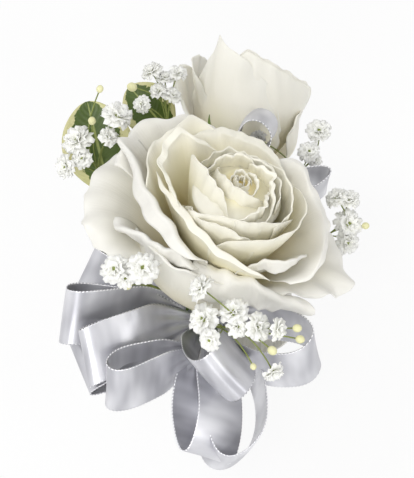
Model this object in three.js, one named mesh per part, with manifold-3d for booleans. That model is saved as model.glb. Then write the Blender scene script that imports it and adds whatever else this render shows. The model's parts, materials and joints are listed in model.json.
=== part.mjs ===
// A wrist corsage: two white roses, gypsophila, variegated leaves and satin ribbon loops, bound to one
// taped stem wrap that four prongs clamp to an elastic wristlet. Millimetres, +Z up. The wristlet stands
// on its back panel at z = 0, the arm passes through it along Y, and the flowers face up and towards -Y.
// The origin is under the middle of the band.
import * as THREE from "three";
import { mergeVertices } from "three/addons/utils/BufferGeometryUtils.js";
import Module from "manifold-3d";

const wasm = await Module();
wasm.setup();

// Fits
const FIT_GAP = 0.3; // between pieces that touch on the real object

// Wristlet band
const WRIST_WIDTH = 56;
const WRIST_HEIGHT = 40;
const BAND_CORNER = 14; // inside radius of the four rounded corners
const BAND_WIDTH = 25;
const BAND_THICKNESS = 1.4;
const PANEL_TURN = 60; // degrees that each panel runs round its two corners

// Clip plate, rivets and prongs
const PLATE_LENGTH = 24;
const PLATE_WIDTH = 32;
const PLATE_THICKNESS = 0.8;
const PLATE_CORNER = 3;
const RIVET_RADIUS = 1.2;
const RIVET_HEAD_RADIUS = 2.4;
const RIVET_HEAD_HEIGHT = 0.8;
const RIVET_SPACING = 22;
const PRONG_WIDTH = 5;
const PRONG_THICKNESS = 0.6;
const PRONG_SPACING = 16; // between the front and rear pairs
const PRONG_REACH = 72; // degrees above the horizontal at which a closed prong ends
const WINDOW_LENGTH = 9.5; // of the slot that each prong was stamped from

// Stem wrap and bow binding
const WRAP_RADIUS = 4.5;
const WRAP_FRONT = -30;
const WRAP_BACK = 21;
const WRAP_END_ROUND = 1.6;
const WRAP_SOCKET = 3; // how deep the stems go into the wrap
const BINDING_THICKNESS = 1.2;
const BINDING_LENGTH = 5;
const BINDING_INSET = 7; // of its middle from the front end of the wrap

// The plane that the flowers are arranged in, as a viewer sees them
const FACE_ELEVATION = 60; // degrees above the horizon
const FACE_RISE = 27.3; // of its middle above the wrap
const FACE_Y = -8;

// Open rose
const ROSE_FACE = [3, -8, -11.5]; // seat of its petals in the face plane: right, up, out
const ROSE_AIM = [0.18, 0.61, 0.77];
const ROSE_FOOT_Y = -3; // between the front and rear prongs
const ROSE_STEM_UPRIGHT = 4.5; // of the stem above its foot, before it bends to the seat
const ROSE_STEM_RADIUS = 2.2;
const ROSE_HEART_RADIUS = 10;
const ROSE_HEART_HEIGHT = 43;
const PETAL_THICKNESS = 0.4;
const PETAL_FIRST_SEAT = 4.2; // radius at which the innermost petal grows
const PETAL_SEAT_STEP = 0.6; // from each petal to the next one out
const SEAT_CROWN = 3;
const SEAT_FALL = 0.02; // how fast the domed seat falls away from the axis
const HIP_DEPTH = 5.5; // of the calyx under the rim of its seat

// Half-open rose
const BUD_FACE = [12.5, 24.5, -53]; // seat of its petals in the face plane: right, up, out
const BUD_AIM = [0.1, 0.99, 0.05];
const BUD_STEM_WAY = [11.7, 16.6, -53.4]; // where its stem bends, in the face plane
const BUD_STEM_RADIUS = 2;
const BUD_HEART_RADIUS = 8;
const BUD_HEART_HEIGHT = 40;

// Ribbon
const RIBBON_WIDTH = 19;
const RIBBON_THICKNESS = 0.5;
const RIBBON_PINCH = 0.2; // share of the width left where a loop is gathered

// Gypsophila and leaves
const SPRIG_RADIUS = 0.7;
const TWIG_RADIUS = 0.45;
const LEAF_THICKNESS = 0.5;
const LEAF_STALK_RADIUS = 0.8;
const LEAF_ARCH = 3;
const LEAF_FOLD = 2;

// Levels and places worked out from the sizes above
const BAND_TOP = WRIST_HEIGHT + 2 * BAND_THICKNESS;
const PLATE_BOTTOM = BAND_TOP + FIT_GAP;
const PLATE_TOP = PLATE_BOTTOM + PLATE_THICKNESS;
const WRAP_Z = PLATE_TOP + FIT_GAP + WRAP_RADIUS;
const BINDING_Y = WRAP_FRONT + BINDING_INSET;

const radians = THREE.MathUtils.degToRad;
const lerp = THREE.MathUtils.lerp;
const vector = (x, y, z) => new THREE.Vector3(x, y, z);

const faceFrame = new THREE.Matrix4().makeRotationX(radians(90 - FACE_ELEVATION));
faceFrame.setPosition(0, FACE_Y, WRAP_Z + FACE_RISE);

// A point given as a viewer sees it: to the right, up, and out towards the viewer.
function face(right, up, out) {
  return vector(right, up, out).applyMatrix4(faceFrame);
}

function faceDirection(right, up, out) {
  return vector(right, up, out).transformDirection(faceFrame);
}

// Merges shared corners, drops triangles of no area and turns the faces outwards.
function weld(geometry) {
  const bare = geometry.clone();
  bare.deleteAttribute("normal");
  bare.deleteAttribute("uv");
  const merged = mergeVertices(bare, 1e-4);
  const place = merged.attributes.position;
  const corners = merged.index.array;
  const kept = [];
  let volume = 0;
  const [a, b, c] = [vector(), vector(), vector()];
  for (let i = 0; i < corners.length; i += 3) {
    const [p, q, r] = [corners[i], corners[i + 1], corners[i + 2]];
    if (p !== q && q !== r && r !== p) {
      kept.push(p, q, r);
      a.fromBufferAttribute(place, p);
      b.fromBufferAttribute(place, q);
      c.fromBufferAttribute(place, r);
      volume += a.dot(b.cross(c));
    }
  }
  merged.setIndex(volume < 0 ? kept.reverse() : kept);
  return merged;
}

function solidOf(geometry) {
  const welded = weld(geometry);
  const vertProperties = new Float32Array(welded.attributes.position.array);
  const triVerts = new Uint32Array(welded.index.array);
  return new wasm.Manifold(new wasm.Mesh({ numProp: 3, vertProperties, triVerts }));
}

function geometryOf(solid) {
  const mesh = solid.getMesh();
  const geometry = new THREE.BufferGeometry();
  geometry.setAttribute("position", new THREE.BufferAttribute(mesh.vertProperties, 3));
  geometry.setIndex(new THREE.BufferAttribute(mesh.triVerts, 1));
  return geometry;
}

function join(geometries) {
  return geometryOf(geometries.map(solidOf).reduce((whole, piece) => whole.add(piece)));
}

// What is left of a shape when others are cut out of it; of several bodies the largest stays.
function cut(geometry, tools) {
  const left = tools.map(solidOf).reduce((whole, tool) => whole.subtract(tool), solidOf(geometry));
  const bodies = left.decompose();
  return geometryOf(bodies.reduce((best, body) => (body.volume() > best.volume() ? body : best)));
}

// A closed sheet of even thickness round a grid of points, given as rows from one end to the other.
function sheet(rows, thickness) {
  const last = rows.length - 1;
  const side = rows[0].length - 1;
  const positions = [];
  const index = [];
  const within = (place, end) => Math.min(Math.max(place, 0), end);
  const at = (row, column) => rows[within(row, last)][within(column, side)];
  for (const half of [thickness / 2, -thickness / 2]) {
    for (let row = 0; row <= last; row += 1) {
      for (let column = 0; column <= side; column += 1) {
        const across = at(row, column + 1).clone().sub(at(row, column - 1));
        const along = at(row + 1, column).clone().sub(at(row - 1, column));
        const normal = across.cross(along).normalize();
        positions.push(...at(row, column).clone().addScaledVector(normal, half));
      }
    }
  }
  const under = rows.length * rows[0].length;
  const id = (row, column) => row * rows[0].length + column;
  const quad = (a, b, c, d) => index.push(a, b, c, a, c, d);
  const wall = (from, to) => quad(from, to, under + to, under + from);
  for (let row = 0; row < last; row += 1) {
    for (let column = 0; column < side; column += 1) {
      const [a, b] = [id(row, column), id(row, column + 1)];
      const [c, d] = [id(row + 1, column + 1), id(row + 1, column)];
      quad(a, b, c, d);
      quad(under + a, under + d, under + c, under + b);
    }
    wall(id(row, 0), id(row + 1, 0));
    wall(id(row + 1, side), id(row, side));
  }
  for (let column = 0; column < side; column += 1) {
    wall(id(0, column + 1), id(0, column));
    wall(id(last, column), id(last, column + 1));
  }
  const geometry = new THREE.BufferGeometry();
  geometry.setAttribute("position", new THREE.Float32BufferAttribute(positions, 3));
  geometry.setIndex(index);
  return geometry;
}

// Rows of a sheet whose two sides are moved out by a gap.
function widened(rows, gap) {
  const outwards = (end, next) => end.clone().add(end.clone().sub(next).setLength(gap));
  return rows.map((row) => {
    const [first, second] = row;
    return [outwards(first, second), ...row.slice(1, -1), outwards(row.at(-1), row.at(-2))];
  });
}

// A solid tube along a smooth curve through the points.
function tube(points, radius, steps, sides) {
  const ring = new THREE.Shape();
  for (let side = 0; side < sides; side += 1) {
    const angle = (2 * Math.PI * side) / sides;
    const [x, y] = [radius * Math.cos(angle), radius * Math.sin(angle)];
    if (side === 0) ring.moveTo(x, y);
    else ring.lineTo(x, y);
  }
  ring.closePath();
  const extrudePath = new THREE.CatmullRomCurve3(points);
  return new THREE.ExtrudeGeometry(ring, { steps, extrudePath, bevelEnabled: false });
}

// A turned solid about Z from [radius, height] pairs that start and end on the axis.
function turned(profile, segments) {
  const points = profile.map(([radius, height]) => new THREE.Vector2(radius, height));
  return new THREE.LatheGeometry(points, segments).rotateX(Math.PI / 2);
}

function finish(colour, roughness, metalness = 0) {
  return () => new THREE.MeshStandardMaterial({ color: colour, roughness, metalness });
}

const satin = finish(0xd3d3da, 0.35);
const bandSatin = finish(0xe4e2dc, 0.5);
const elastic = finish(0xe9e7e2, 0.75);
const clipMetal = finish(0xb8babd, 0.3, 1);
const floralTape = finish(0x5f7f45, 0.7);
const bindingWire = finish(0xc9cbcd, 0.3, 1);
const ivoryPetal = finish(0xefece0, 0.6);
const creamHeart = finish(0xe9dfc0, 0.6);
const sepalGreen = finish(0x6f8a3f, 0.6);
const leafGreen = finish(0x4f6a26, 0.45);
const floretWhite = finish(0xf2f2ea, 0.7);

function mesh(name, geometry, material) {
  const made = new THREE.Mesh(weld(geometry), material());
  made.name = name;
  return made;
}

const corsage = new THREE.Group();
const add = (name, geometry, material) => corsage.add(mesh(name, geometry, material));

// Wristlet: a rounded oblong of two panels and two elastic straps, each a strip round part of it.

const cornerRadius = BAND_CORNER + BAND_THICKNESS / 2;
const cornerX = WRIST_WIDTH / 2 - BAND_CORNER;
const lowerCornerZ = BAND_THICKNESS + BAND_CORNER;
const upperCornerZ = BAND_THICKNESS + WRIST_HEIGHT - BAND_CORNER;
const CORNER_STEPS = 6;
const FLAT_SHARE = 0.96; // the flat stretch keeps a short run-in to each corner

function cornerPoints(x, z, from, to) {
  const points = [];
  for (let step = 0; step <= CORNER_STEPS; step += 1) {
    const angle = radians(lerp(from, to, step / CORNER_STEPS));
    points.push([x + cornerRadius * Math.cos(angle), z + cornerRadius * Math.sin(angle)]);
  }
  return points;
}

function bandStrip(outline) {
  const edges = [-BAND_WIDTH / 2, BAND_WIDTH / 2];
  return sheet(outline.map(([x, z]) => edges.map((y) => vector(x, y, z))), BAND_THICKNESS);
}

const turnEnd = 90 - PANEL_TURN;
const seamTurn = THREE.MathUtils.radToDeg(FIT_GAP / cornerRadius);
const flatTop = BAND_TOP - BAND_THICKNESS / 2;
const topPanelOutline = [
  ...cornerPoints(-cornerX, upperCornerZ, 180 - turnEnd, 90),
  [-cornerX * FLAT_SHARE, flatTop],
  [cornerX * FLAT_SHARE, flatTop],
  ...cornerPoints(cornerX, upperCornerZ, 90, turnEnd),
];
const backPanelOutline = [
  ...cornerPoints(-cornerX, lowerCornerZ, 180 + turnEnd, 270),
  [-cornerX * FLAT_SHARE, BAND_THICKNESS / 2],
  [cornerX * FLAT_SHARE, BAND_THICKNESS / 2],
  ...cornerPoints(cornerX, lowerCornerZ, -90, -turnEnd),
];
const strapOutline = [
  ...cornerPoints(cornerX, upperCornerZ, turnEnd - seamTurn, 0),
  ...cornerPoints(cornerX, lowerCornerZ, 0, seamTurn - turnEnd),
];
const rivetHoles = [-1, 1].map((side) =>
  turned([[0, 0], [RIVET_RADIUS + FIT_GAP, 0], [RIVET_RADIUS + FIT_GAP, BAND_TOP], [0, BAND_TOP]], 12)
    .translate((side * RIVET_SPACING) / 2, 0, BAND_TOP / 2),
);
add("band_top_panel", cut(bandStrip(topPanelOutline), rivetHoles), bandSatin);
add("band_back_panel", bandStrip(backPanelOutline), bandSatin);
add("band_elastic_right", bandStrip(strapOutline), elastic);
add("band_elastic_left", bandStrip(strapOutline.map(([x, z]) => [-x, z])), elastic);

// Clip plate, with the four windows that its prongs were stamped and folded up from.

const prongRadius = WRAP_RADIUS + FIT_GAP + PRONG_THICKNESS / 2;
const prongRootZ = PLATE_TOP + PRONG_THICKNESS;
const prongRootAngle = Math.asin((prongRootZ - WRAP_Z) / prongRadius);
const prongRootX = prongRadius * Math.cos(prongRootAngle);
const prongRows = [-PRONG_SPACING / 2, PRONG_SPACING / 2];

function plateOutline() {
  const [x, y] = [PLATE_WIDTH / 2, PLATE_LENGTH / 2];
  const outline = new THREE.Shape();
  outline.moveTo(-x + PLATE_CORNER, -y);
  outline.absarc(x - PLATE_CORNER, -y + PLATE_CORNER, PLATE_CORNER, -Math.PI / 2, 0);
  outline.absarc(x - PLATE_CORNER, y - PLATE_CORNER, PLATE_CORNER, 0, Math.PI / 2);
  outline.absarc(-x + PLATE_CORNER, y - PLATE_CORNER, PLATE_CORNER, Math.PI / 2, Math.PI);
  outline.absarc(-x + PLATE_CORNER, -y + PLATE_CORNER, PLATE_CORNER, Math.PI, 1.5 * Math.PI);
  return outline;
}

const plateBlank = new THREE.ExtrudeGeometry(plateOutline(), {
  depth: PLATE_THICKNESS,
  bevelEnabled: false,
  curveSegments: 4,
}).translate(0, 0, PLATE_BOTTOM);
const prongWindows = prongRows.flatMap((y) =>
  [-1, 1].map((side) =>
    new THREE.BoxGeometry(WINDOW_LENGTH, PRONG_WIDTH + 2 * FIT_GAP, 2 * PLATE_TOP)
      .translate(side * (prongRootX + FIT_GAP + WINDOW_LENGTH / 2), y, PLATE_TOP),
  ),
);
add("clip_plate", cut(plateBlank, [...prongWindows, ...rivetHoles]), clipMetal);

const rivetTop = PLATE_TOP + FIT_GAP;
const rivetBottom = BAND_TOP - BAND_THICKNESS - FIT_GAP;
const rivetProfile = [
  [0, rivetBottom - RIVET_HEAD_HEIGHT],
  [RIVET_HEAD_RADIUS, rivetBottom - RIVET_HEAD_HEIGHT / 2],
  [RIVET_HEAD_RADIUS, rivetBottom],
  [RIVET_RADIUS, rivetBottom],
  [RIVET_RADIUS, rivetTop],
  [RIVET_HEAD_RADIUS, rivetTop],
  [RIVET_HEAD_RADIUS, rivetTop + RIVET_HEAD_HEIGHT / 2],
  [0, rivetTop + RIVET_HEAD_HEIGHT],
];
for (const [name, side] of [["rivet_left", -1], ["rivet_right", 1]]) {
  add(name, turned(rivetProfile, 12).translate((side * RIVET_SPACING) / 2, 0, 0), clipMetal);
}

// A prong, closed round the stem wrap from its fold line beside the plate's window.
const PRONG_STEPS = 9;
function prong(side, y) {
  const rows = [];
  for (let step = 0; step <= PRONG_STEPS; step += 1) {
    const angle = lerp(prongRootAngle, radians(PRONG_REACH), step / PRONG_STEPS);
    const [x, z] = [side * prongRadius * Math.cos(angle), WRAP_Z + prongRadius * Math.sin(angle)];
    rows.push([-0.5, 0.5].map((share) => vector(x, y + share * PRONG_WIDTH, z)));
  }
  return sheet(rows, PRONG_THICKNESS);
}
for (const [end, y] of [["front", prongRows[0]], ["back", prongRows[1]]]) {
  add("prong_left_" + end, prong(-1, y), clipMetal);
  add("prong_right_" + end, prong(1, y), clipMetal);
}

// Roses: a petal is given by places along its rim. A smooth curve through them is the rim, and each point
// of it joins the domed seat by a curve of its own. Later petals grow further out, and a petal is trimmed
// where it would touch an earlier one.

const PETAL_ALONG = 5;
const PETAL_ACROSS = 8; // least number of steps across a petal
const SEAT_SHARE = 0.5; // of its full width that a petal has at its seat
const FULL_WIDTH_AT = 2 / 3; // share of its length at which a petal is widest
// How the curve leaves the seat and comes to the rim, [out, up], for a closed and for an open petal
const LEAVES_SEAT = { closed: [6, 12], open: [9, 9] };
const COMES_TO_RIM = { closed: [4, -14], open: [-9, 9] };
const FLAP_ROWS = [0.25, 0.5, 1]; // shares of a flap's length
const FLAP_LEAST = 0.4; // length of a flap at the sides of its petal
// The heart's outline, as shares of its radius and of its height above the seat
const HEART_SHAPE = [[0.3, 0.01], [0.6, 0.25], [0.9, 0.6], [1, 0.82], [0.85, 0.93], [0.45, 0.99]];
// The hip's outline under the seat, as shares of its rim and of its depth
const HIP_SHAPE = [[0, 1], [0.3, 0.91], [0.6, 0.58]];
const SEAT_RIM = 1; // of the calyx beyond its outermost petal

const seatHeight = (radius) => SEAT_CROWN - SEAT_FALL * radius * radius;

// The curve of a petal from its seat to a point of its rim: a closed petal stands up and folds in over the
// heart, an open one lies out and curls back. A belly sinks and swells it near the seat.
function meridian(seat, reach, rise, height, belly) {
  const openness = THREE.MathUtils.clamp((reach / height + 1 - rise / height) / 2, 0, 1);
  const between = ({ closed, open }, [x, y]) =>
    new THREE.Vector2(x + lerp(closed[0], open[0], openness), y + lerp(closed[1], open[1], openness));
  const foot = [seat, seatHeight(seat)];
  const tip = [reach, rise];
  return new THREE.CubicBezierCurve(
    new THREE.Vector2(...foot),
    between(LEAVES_SEAT, foot).add(new THREE.Vector2(belly, -belly)),
    between(COMES_TO_RIM, tip),
    new THREE.Vector2(...tip),
  );
}

// A point of the flap that a rim folds back as: it bends round a small radius, then runs straight on.
function flapPoint(curve, length, curl, bend) {
  const turn = Math.min(length / curl, radians(bend));
  const straight = length - curl * turn;
  const onward = curl * Math.sin(turn) + straight * Math.cos(turn);
  const back = curl * (1 - Math.cos(turn)) + straight * Math.sin(turn);
  const slope = curve.getTangent(1);
  const outside = new THREE.Vector2(slope.y, -slope.x);
  return curve.getPoint(1).addScaledVector(slope, onward).addScaledVector(outside, back);
}

function petalRows({ rim, belly = 0, flap = 0, curl = 1.2, bend = 110, taper = 3 }, seat, height) {
  const stretches = rim.length - 1;
  const steps = stretches * Math.ceil(PETAL_ACROSS / stretches);
  const edge = new THREE.CatmullRomCurve3(rim.map((place) => vector(...place))).getPoints(steps);
  const middle = edge.reduce((sum, { x: azimuth }) => sum + azimuth, 0) / edge.length;
  const columns = edge.map(({ x: azimuth, y: reach, z: rise }, column) => {
    const curve = meridian(seat, reach, rise, height, belly);
    const points = curve.getPoints(PETAL_ALONG);
    const across = Math.abs((2 * column) / steps - 1);
    const length = lerp(flap, FLAP_LEAST, across ** taper);
    if (flap > 0) {
      points.push(...FLAP_ROWS.map((share) => flapPoint(curve, share * length, curl, bend)));
    }
    return points.map(({ x, y }, row) => {
      const widening = Math.sin((Math.PI / 2) * Math.min(1, row / PETAL_ALONG / FULL_WIDTH_AT));
      const angle = radians(middle + (azimuth - middle) * lerp(SEAT_SHARE, 1, widening));
      return vector(x * Math.cos(angle), x * Math.sin(angle), y);
    });
  });
  return columns[0].map((_, row) => columns.map((column) => column[row]));
}

function heartProfile(radius, height) {
  const foot = seatHeight(0);
  const side = HEART_SHAPE.map(([out, up]) => [radius * out, lerp(foot, height, up)]);
  return [[0, foot], ...side, [0, height]];
}

// The calyx: a domed seat under the petals and the hip below it.
function calyxProfile(lastSeat) {
  const rim = lastSeat + SEAT_RIM;
  const drop = FIT_GAP + PETAL_THICKNESS / 2;
  const hip = HIP_SHAPE.map(([out, down]) => [rim * out, seatHeight(rim) - drop - HIP_DEPTH * down]);
  const seat = [1, 0.75, 0.5, 0.25, 0].map((share) => [rim * share, seatHeight(rim * share) - drop]);
  return [...hip, ...seat];
}

// Places along a rim are [azimuth, reach, rise]: degrees from the right towards the back, distance from
// the flower's axis and height over its seat. Petals run from the heart outwards.
const rosePetals = [
  { rim: [[144, 15, 38], [123, 14.3, 40], [96, 12.4, 41], [70, 12, 41], [40, 13.8, 39.5]] },
  { rim: [[66, 13, 38.5], [21, 15, 40.5], [-7, 16.4, 40], [-26, 18, 39], [-50, 17, 36.5]] },
  { rim: [[-26, 18.2, 36.5], [-60, 15.4, 39], [-82, 14.5, 39.5], [-105, 14, 39.5], [-142, 16, 37.5]] },
  {
    rim: [
      [110, 18, 36], [126, 21, 38.5], [135, 26.5, 40.5], [150, 25, 38.5], [165, 23.5, 37.5],
      [182, 20.5, 36.5], [198, 18.5, 34],
    ],
  },
  {
    rim: [
      [200, 16, 34], [225, 15.3, 36], [248, 15.5, 37], [266, 16.2, 36.5], [279, 18.5, 35], [290, 21.5, 32],
    ],
  },
  {
    rim: [
      [22, 19, 34], [-5, 21, 36], [-23, 21.6, 36], [-43, 20.8, 36], [-69, 18.8, 35.5], [-86, 18.8, 33],
    ],
  },
  {
    rim: [
      [154, 27, 29], [170, 23.5, 32], [184, 20, 33], [200, 17.8, 33.5], [224, 17.5, 33.5],
      [246, 18.8, 32.5], [266, 20.5, 31], [284, 24, 29], [295, 27, 26],
    ],
  },
  { rim: [[190, 25, 26], [160, 29.5, 30], [141, 33, 30.5], [124, 34, 31], [111, 36.5, 32], [98, 31, 29]] },
  { rim: [[114, 32, 28], [98, 29, 31], [85, 26.8, 31.5], [68, 26, 31], [46, 25, 28]] },
  {
    rim: [[-76, 20, 25], [-60, 20, 28], [-46, 22.5, 29], [-32, 26, 28.5], [-16, 27, 26]],
    flap: 7,
    bend: 140,
    taper: 1,
  },
  {
    rim: [
      [138, 41, 26], [146, 43.5, 28], [152, 36.5, 29], [166, 29.5, 29], [182, 24.5, 29],
      [205, 20.5, 28], [230, 20, 26.5], [248, 20.5, 24],
    ],
    flap: 7,
    curl: 1.6,
    bend: 125,
  },
  {
    rim: [
      [76, 25, 25], [60, 26, 28], [43, 31, 28.5], [26, 28.5, 27], [10, 29, 27], [-4, 29.5, 27],
      [-23, 31, 26], [-38, 32, 24.5], [-50, 29, 21],
    ],
  },
  {
    rim: [
      [156, 41, 24], [142, 42.5, 27], [130, 45.5, 28], [121, 41.5, 27], [112, 40.5, 27],
      [100, 38, 25], [88, 34, 21],
    ],
  },
  {
    rim: [
      [170, 38, 19], [183, 36.5, 22], [193, 30.5, 23], [201, 26.5, 23.5], [212, 23.5, 23.5],
      [226, 21, 23], [243, 20, 21.5],
    ],
    flap: 7,
    curl: 1.6,
    bend: 125,
    belly: 3,
  },
  {
    rim: [
      [140, 45, 14], [154, 47, 13], [166, 46, 12], [177, 45, 11.5], [186, 42.5, 11],
      [194, 37, 10], [202, 31, 8],
    ],
  },
  {
    rim: [
      [30, 30, 12], [10, 36, 10.5], [-6, 40.5, 9], [-15, 45, 8.5], [-24, 41, 8], [-32, 34.5, 10],
      [-44, 28.5, 12], [-58, 22, 13],
    ],
  },
  {
    rim: [
      [234, 18.5, 19.5], [248, 17.2, 20.5], [264, 16.8, 20], [290, 20.6, 18], [302, 24.8, 16],
      [311, 29, 14], [318, 33, 12], [323, 37, 10],
    ],
    flap: 11,
    curl: 3,
    bend: 105,
    belly: 3,
  },
  { rim: [[186, 25, 15], [206, 24, 18], [228, 22.5, 18], [250, 20.5, 17], [274, 20, 14]], belly: 6 },
];
const budPetals = [
  { rim: [[20, 12, 28], [60, 11, 33], [100, 10.5, 37], [140, 12, 38]], belly: 3 },
  {
    rim: [
      [130, 14, 33], [160, 16.5, 37], [178, 19.5, 37.8], [188, 21.6, 35.5], [197, 20.5, 30], [210, 18, 23],
    ],
    belly: 4,
  },
  {
    rim: [
      [230, 12.5, 34], [252, 13.2, 40], [268, 13.2, 39], [289, 13.7, 36.8], [308, 14.8, 35],
      [330, 16.3, 33], [350, 19, 31.5], [366, 21.5, 30], [378, 20.5, 24],
    ],
    belly: 4,
  },
  { rim: [[322, 17.5, 14], [340, 18, 20], [360, 18.5, 23], [385, 18, 26], [420, 17, 28]], belly: 10 },
  {
    rim: [[130, 19, 25], [160, 21.5, 32], [178, 23.6, 34], [189, 26, 30], [200, 26.5, 24], [214, 25, 15]],
    belly: 8,
  },
  {
    rim: [
      [176, 20, 22], [196, 18.5, 34], [222, 17.2, 43.5], [248, 15, 39], [268, 14.2, 34.5],
      [288, 14, 30], [304, 14.5, 24], [318, 15.5, 14],
    ],
    belly: 5,
  },
];

function addFlower(prefix, petals, frame, { heartRadius, heartHeight, stem }) {
  frame.add(mesh(prefix + "_heart", turned(heartProfile(heartRadius, heartHeight), 12), creamHeart));
  const trims = [];
  let seat = PETAL_FIRST_SEAT;
  petals.forEach((petal, i) => {
    seat = PETAL_FIRST_SEAT + i * PETAL_SEAT_STEP;
    const rows = petalRows(petal, seat, heartHeight + SEAT_CROWN);
    const number = String(i + 1).padStart(2, "0");
    frame.add(mesh(prefix + "_petal_" + number, cut(sheet(rows, PETAL_THICKNESS), trims), ivoryPetal));
    trims.push(sheet(widened(rows, FIT_GAP), PETAL_THICKNESS + 2 * FIT_GAP));
  });
  const calyx = join([turned(calyxProfile(seat), 12), stem]);
  frame.add(mesh(prefix + "_calyx", calyx, sepalGreen));
  corsage.add(frame);
}

const STEM_SIDES = 8;

// A stem from the seat of a flower, over a way point, to its foot in the wrap.
function stemTube({ frame, way, foot }, radius) {
  frame.updateMatrixWorld();
  const points = [vector(0, 0, 0), ...[way, foot].map((point) => frame.worldToLocal(point.clone()))];
  return tube(points, radius, 6, STEM_SIDES);
}

function flowerFrame(place, aim) {
  const frame = new THREE.Group();
  frame.position.copy(face(...place));
  frame.quaternion.setFromUnitVectors(vector(0, 0, 1), faceDirection(...aim));
  return frame;
}

const roseFoot = vector(0, ROSE_FOOT_Y, WRAP_Z + WRAP_RADIUS - WRAP_SOCKET);
const roseStem = {
  frame: flowerFrame(ROSE_FACE, ROSE_AIM),
  way: roseFoot.clone().setZ(roseFoot.z + ROSE_STEM_UPRIGHT),
  foot: roseFoot,
};
addFlower("rose", rosePetals, roseStem.frame, {
  heartRadius: ROSE_HEART_RADIUS,
  heartHeight: ROSE_HEART_HEIGHT,
  stem: stemTube(roseStem, ROSE_STEM_RADIUS),
});

const budStem = {
  frame: flowerFrame(BUD_FACE, BUD_AIM),
  way: face(...BUD_STEM_WAY),
  foot: vector(0, WRAP_BACK - WRAP_SOCKET, WRAP_Z),
};
addFlower("bud", budPetals, budStem.frame, {
  heartRadius: BUD_HEART_RADIUS,
  heartHeight: BUD_HEART_HEIGHT,
  stem: stemTube(budStem, BUD_STEM_RADIUS),
});

// Gypsophila sprigs and leaves: each grows from a socket in the side of the wrap.

// A place in the wrap's side: along the arm, and degrees round the wrap from +X towards the top.
function socket(y, angle, depth) {
  const radius = WRAP_RADIUS - depth;
  return vector(radius * Math.cos(radians(angle)), y, WRAP_Z + radius * Math.sin(radians(angle)));
}

const atFront = (inset) => WRAP_FRONT + inset;
const atBack = (inset) => WRAP_BACK - inset;

// Stem that stands out of its socket, then runs over a way point to its end, both as a viewer sees them.
function stemPath({ y, angle, lift, way, end }) {
  return [socket(y, angle, WRAP_SOCKET / 2), socket(y, angle, -lift), face(...way), face(...end)];
}

// Florets and buds are [right, up, out, radius]; each twig leaves the stem's end.
const sprigs = {
  sprig_left: {
    stem: { y: atBack(8.5), angle: 155, lift: 2, way: [-30, 12, -30], end: [-38, 26, -20] },
    florets: [
      [-43.4, 33.2, -14, 4.4], [-47.3, 23.7, -14, 3.2], [-41.4, 26.6, -14, 3],
      [-28.6, 41.4, -14, 4.2], [-31.9, 34.2, -14, 2.8], [-35.2, 49.3, -14, 1.2], [-37.8, 38.8, -14, 1.3],
    ],
  },
  sprig_top: {
    stem: { y: atBack(5.5), angle: 115, lift: 2, way: [-12, 30, -42], end: [-14, 44, -38] },
    florets: [
      [-19.5, 58.1, -35, 3.2], [-9.6, 57.4, -35, 2.8], [-14.3, 56, -35, 2.6],
      [-16.7, 51.2, -35, 2.8], [-11.3, 49.9, -35, 2.6], [-25.6, 51.9, -35, 1.6], [-22.7, 46, -32, 2.6],
    ],
  },
  sprig_right_upper: {
    stem: { y: atBack(5.5), angle: -12, lift: 2, way: [25, 16, -50], end: [34, 25, -44] },
    florets: [[38.1, 37.4, -32, 3.6], [34.7, 30, -31, 3], [37, 27, -34, 2]],
  },
  sprig_right_lower: {
    stem: { y: atBack(8.5), angle: 5, lift: 2, way: [36, 0, -32], end: [45, 4, -25] },
    florets: [
      [42.6, 14.7, -22, 3.2], [47.4, 14.1, -22, 3.4], [48, 5.4, -21, 4],
      [47.3, -1.6, -21, 3.6], [52.8, 4.4, -21, 1.2],
    ],
  },
  sprig_front_left: {
    stem: { y: atFront(3.4), angle: 108, lift: 8, way: [-10, -25, 8], end: [-28, -20, 13] },
    florets: [
      [-29, -9, 20, 3.7], [-19.8, -8.6, 23, 4], [-24.6, -14.4, 17, 1.4], [-25.3, -12.2, 20, 2.6],
    ],
  },
  sprig_front: {
    stem: { y: atFront(1.4), angle: 90, lift: 6, way: [-1.5, -27, 8], end: [9, -27.5, 19] },
    florets: [
      [-2.8, -14.2, 25, 3.6], [-2.2, -24.3, 23, 4.2], [8, -21.5, 23, 3.8], [9.8, -26.8, 23, 2.8],
      [16.9, -26.8, 22, 3.8], [22.8, -27.7, 22, 3], [0.4, -31, 27, 2.9], [20.9, -41.8, 21, 3],
      [27.7, -27.4, 21, 1.3], [28.6, -30.8, 21, 1.3], [20, -34.2, 22, 1.4], [14.2, -39.1, 22, 1],
    ],
  },
};
const FLORET_SIZE = 3; // florets of this radius or more are rounder

function sprig({ stem, florets }) {
  const path = stemPath(stem);
  const fork = path.at(-1);
  const pieces = [tube(path, SPRIG_RADIUS, 8, 5)];
  for (const [right, up, out, radius] of florets) {
    const head = face(right, up, out);
    pieces.push(tube([fork, head], TWIG_RADIUS, 1, 3));
    const detail = radius >= FLORET_SIZE ? 1 : 0;
    pieces.push(new THREE.IcosahedronGeometry(radius, detail).translate(...head));
  }
  return join(pieces);
}

const stemTools = [];
for (const [name, made] of Object.entries(sprigs)) {
  add(name, sprig(made), floretWhite);
  stemTools.push(tube(stemPath(made.stem), SPRIG_RADIUS + FIT_GAP, 8, 5));
}

// A leaf lies from its base to its tip, arched towards the viewer and folded a little along its midrib.
const leaves = {
  leaf_left: {
    stem: { y: atBack(3), angle: 165, lift: 2, way: [-22, 8, -42], end: [-33, 16, -34] },
    tip: [-44, 46, -30],
    width: 20,
  },
  leaf_top: {
    stem: { y: atBack(2.5), angle: 125, lift: 2, way: [-10, 24, -50], end: [-13, 37, -51] },
    tip: [-27, 57, -46],
    width: 15,
  },
};
const LEAF_STEPS = 7;
const LEAF_FULLNESS = 0.85; // below 1 the leaf is widest nearer its base

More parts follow.
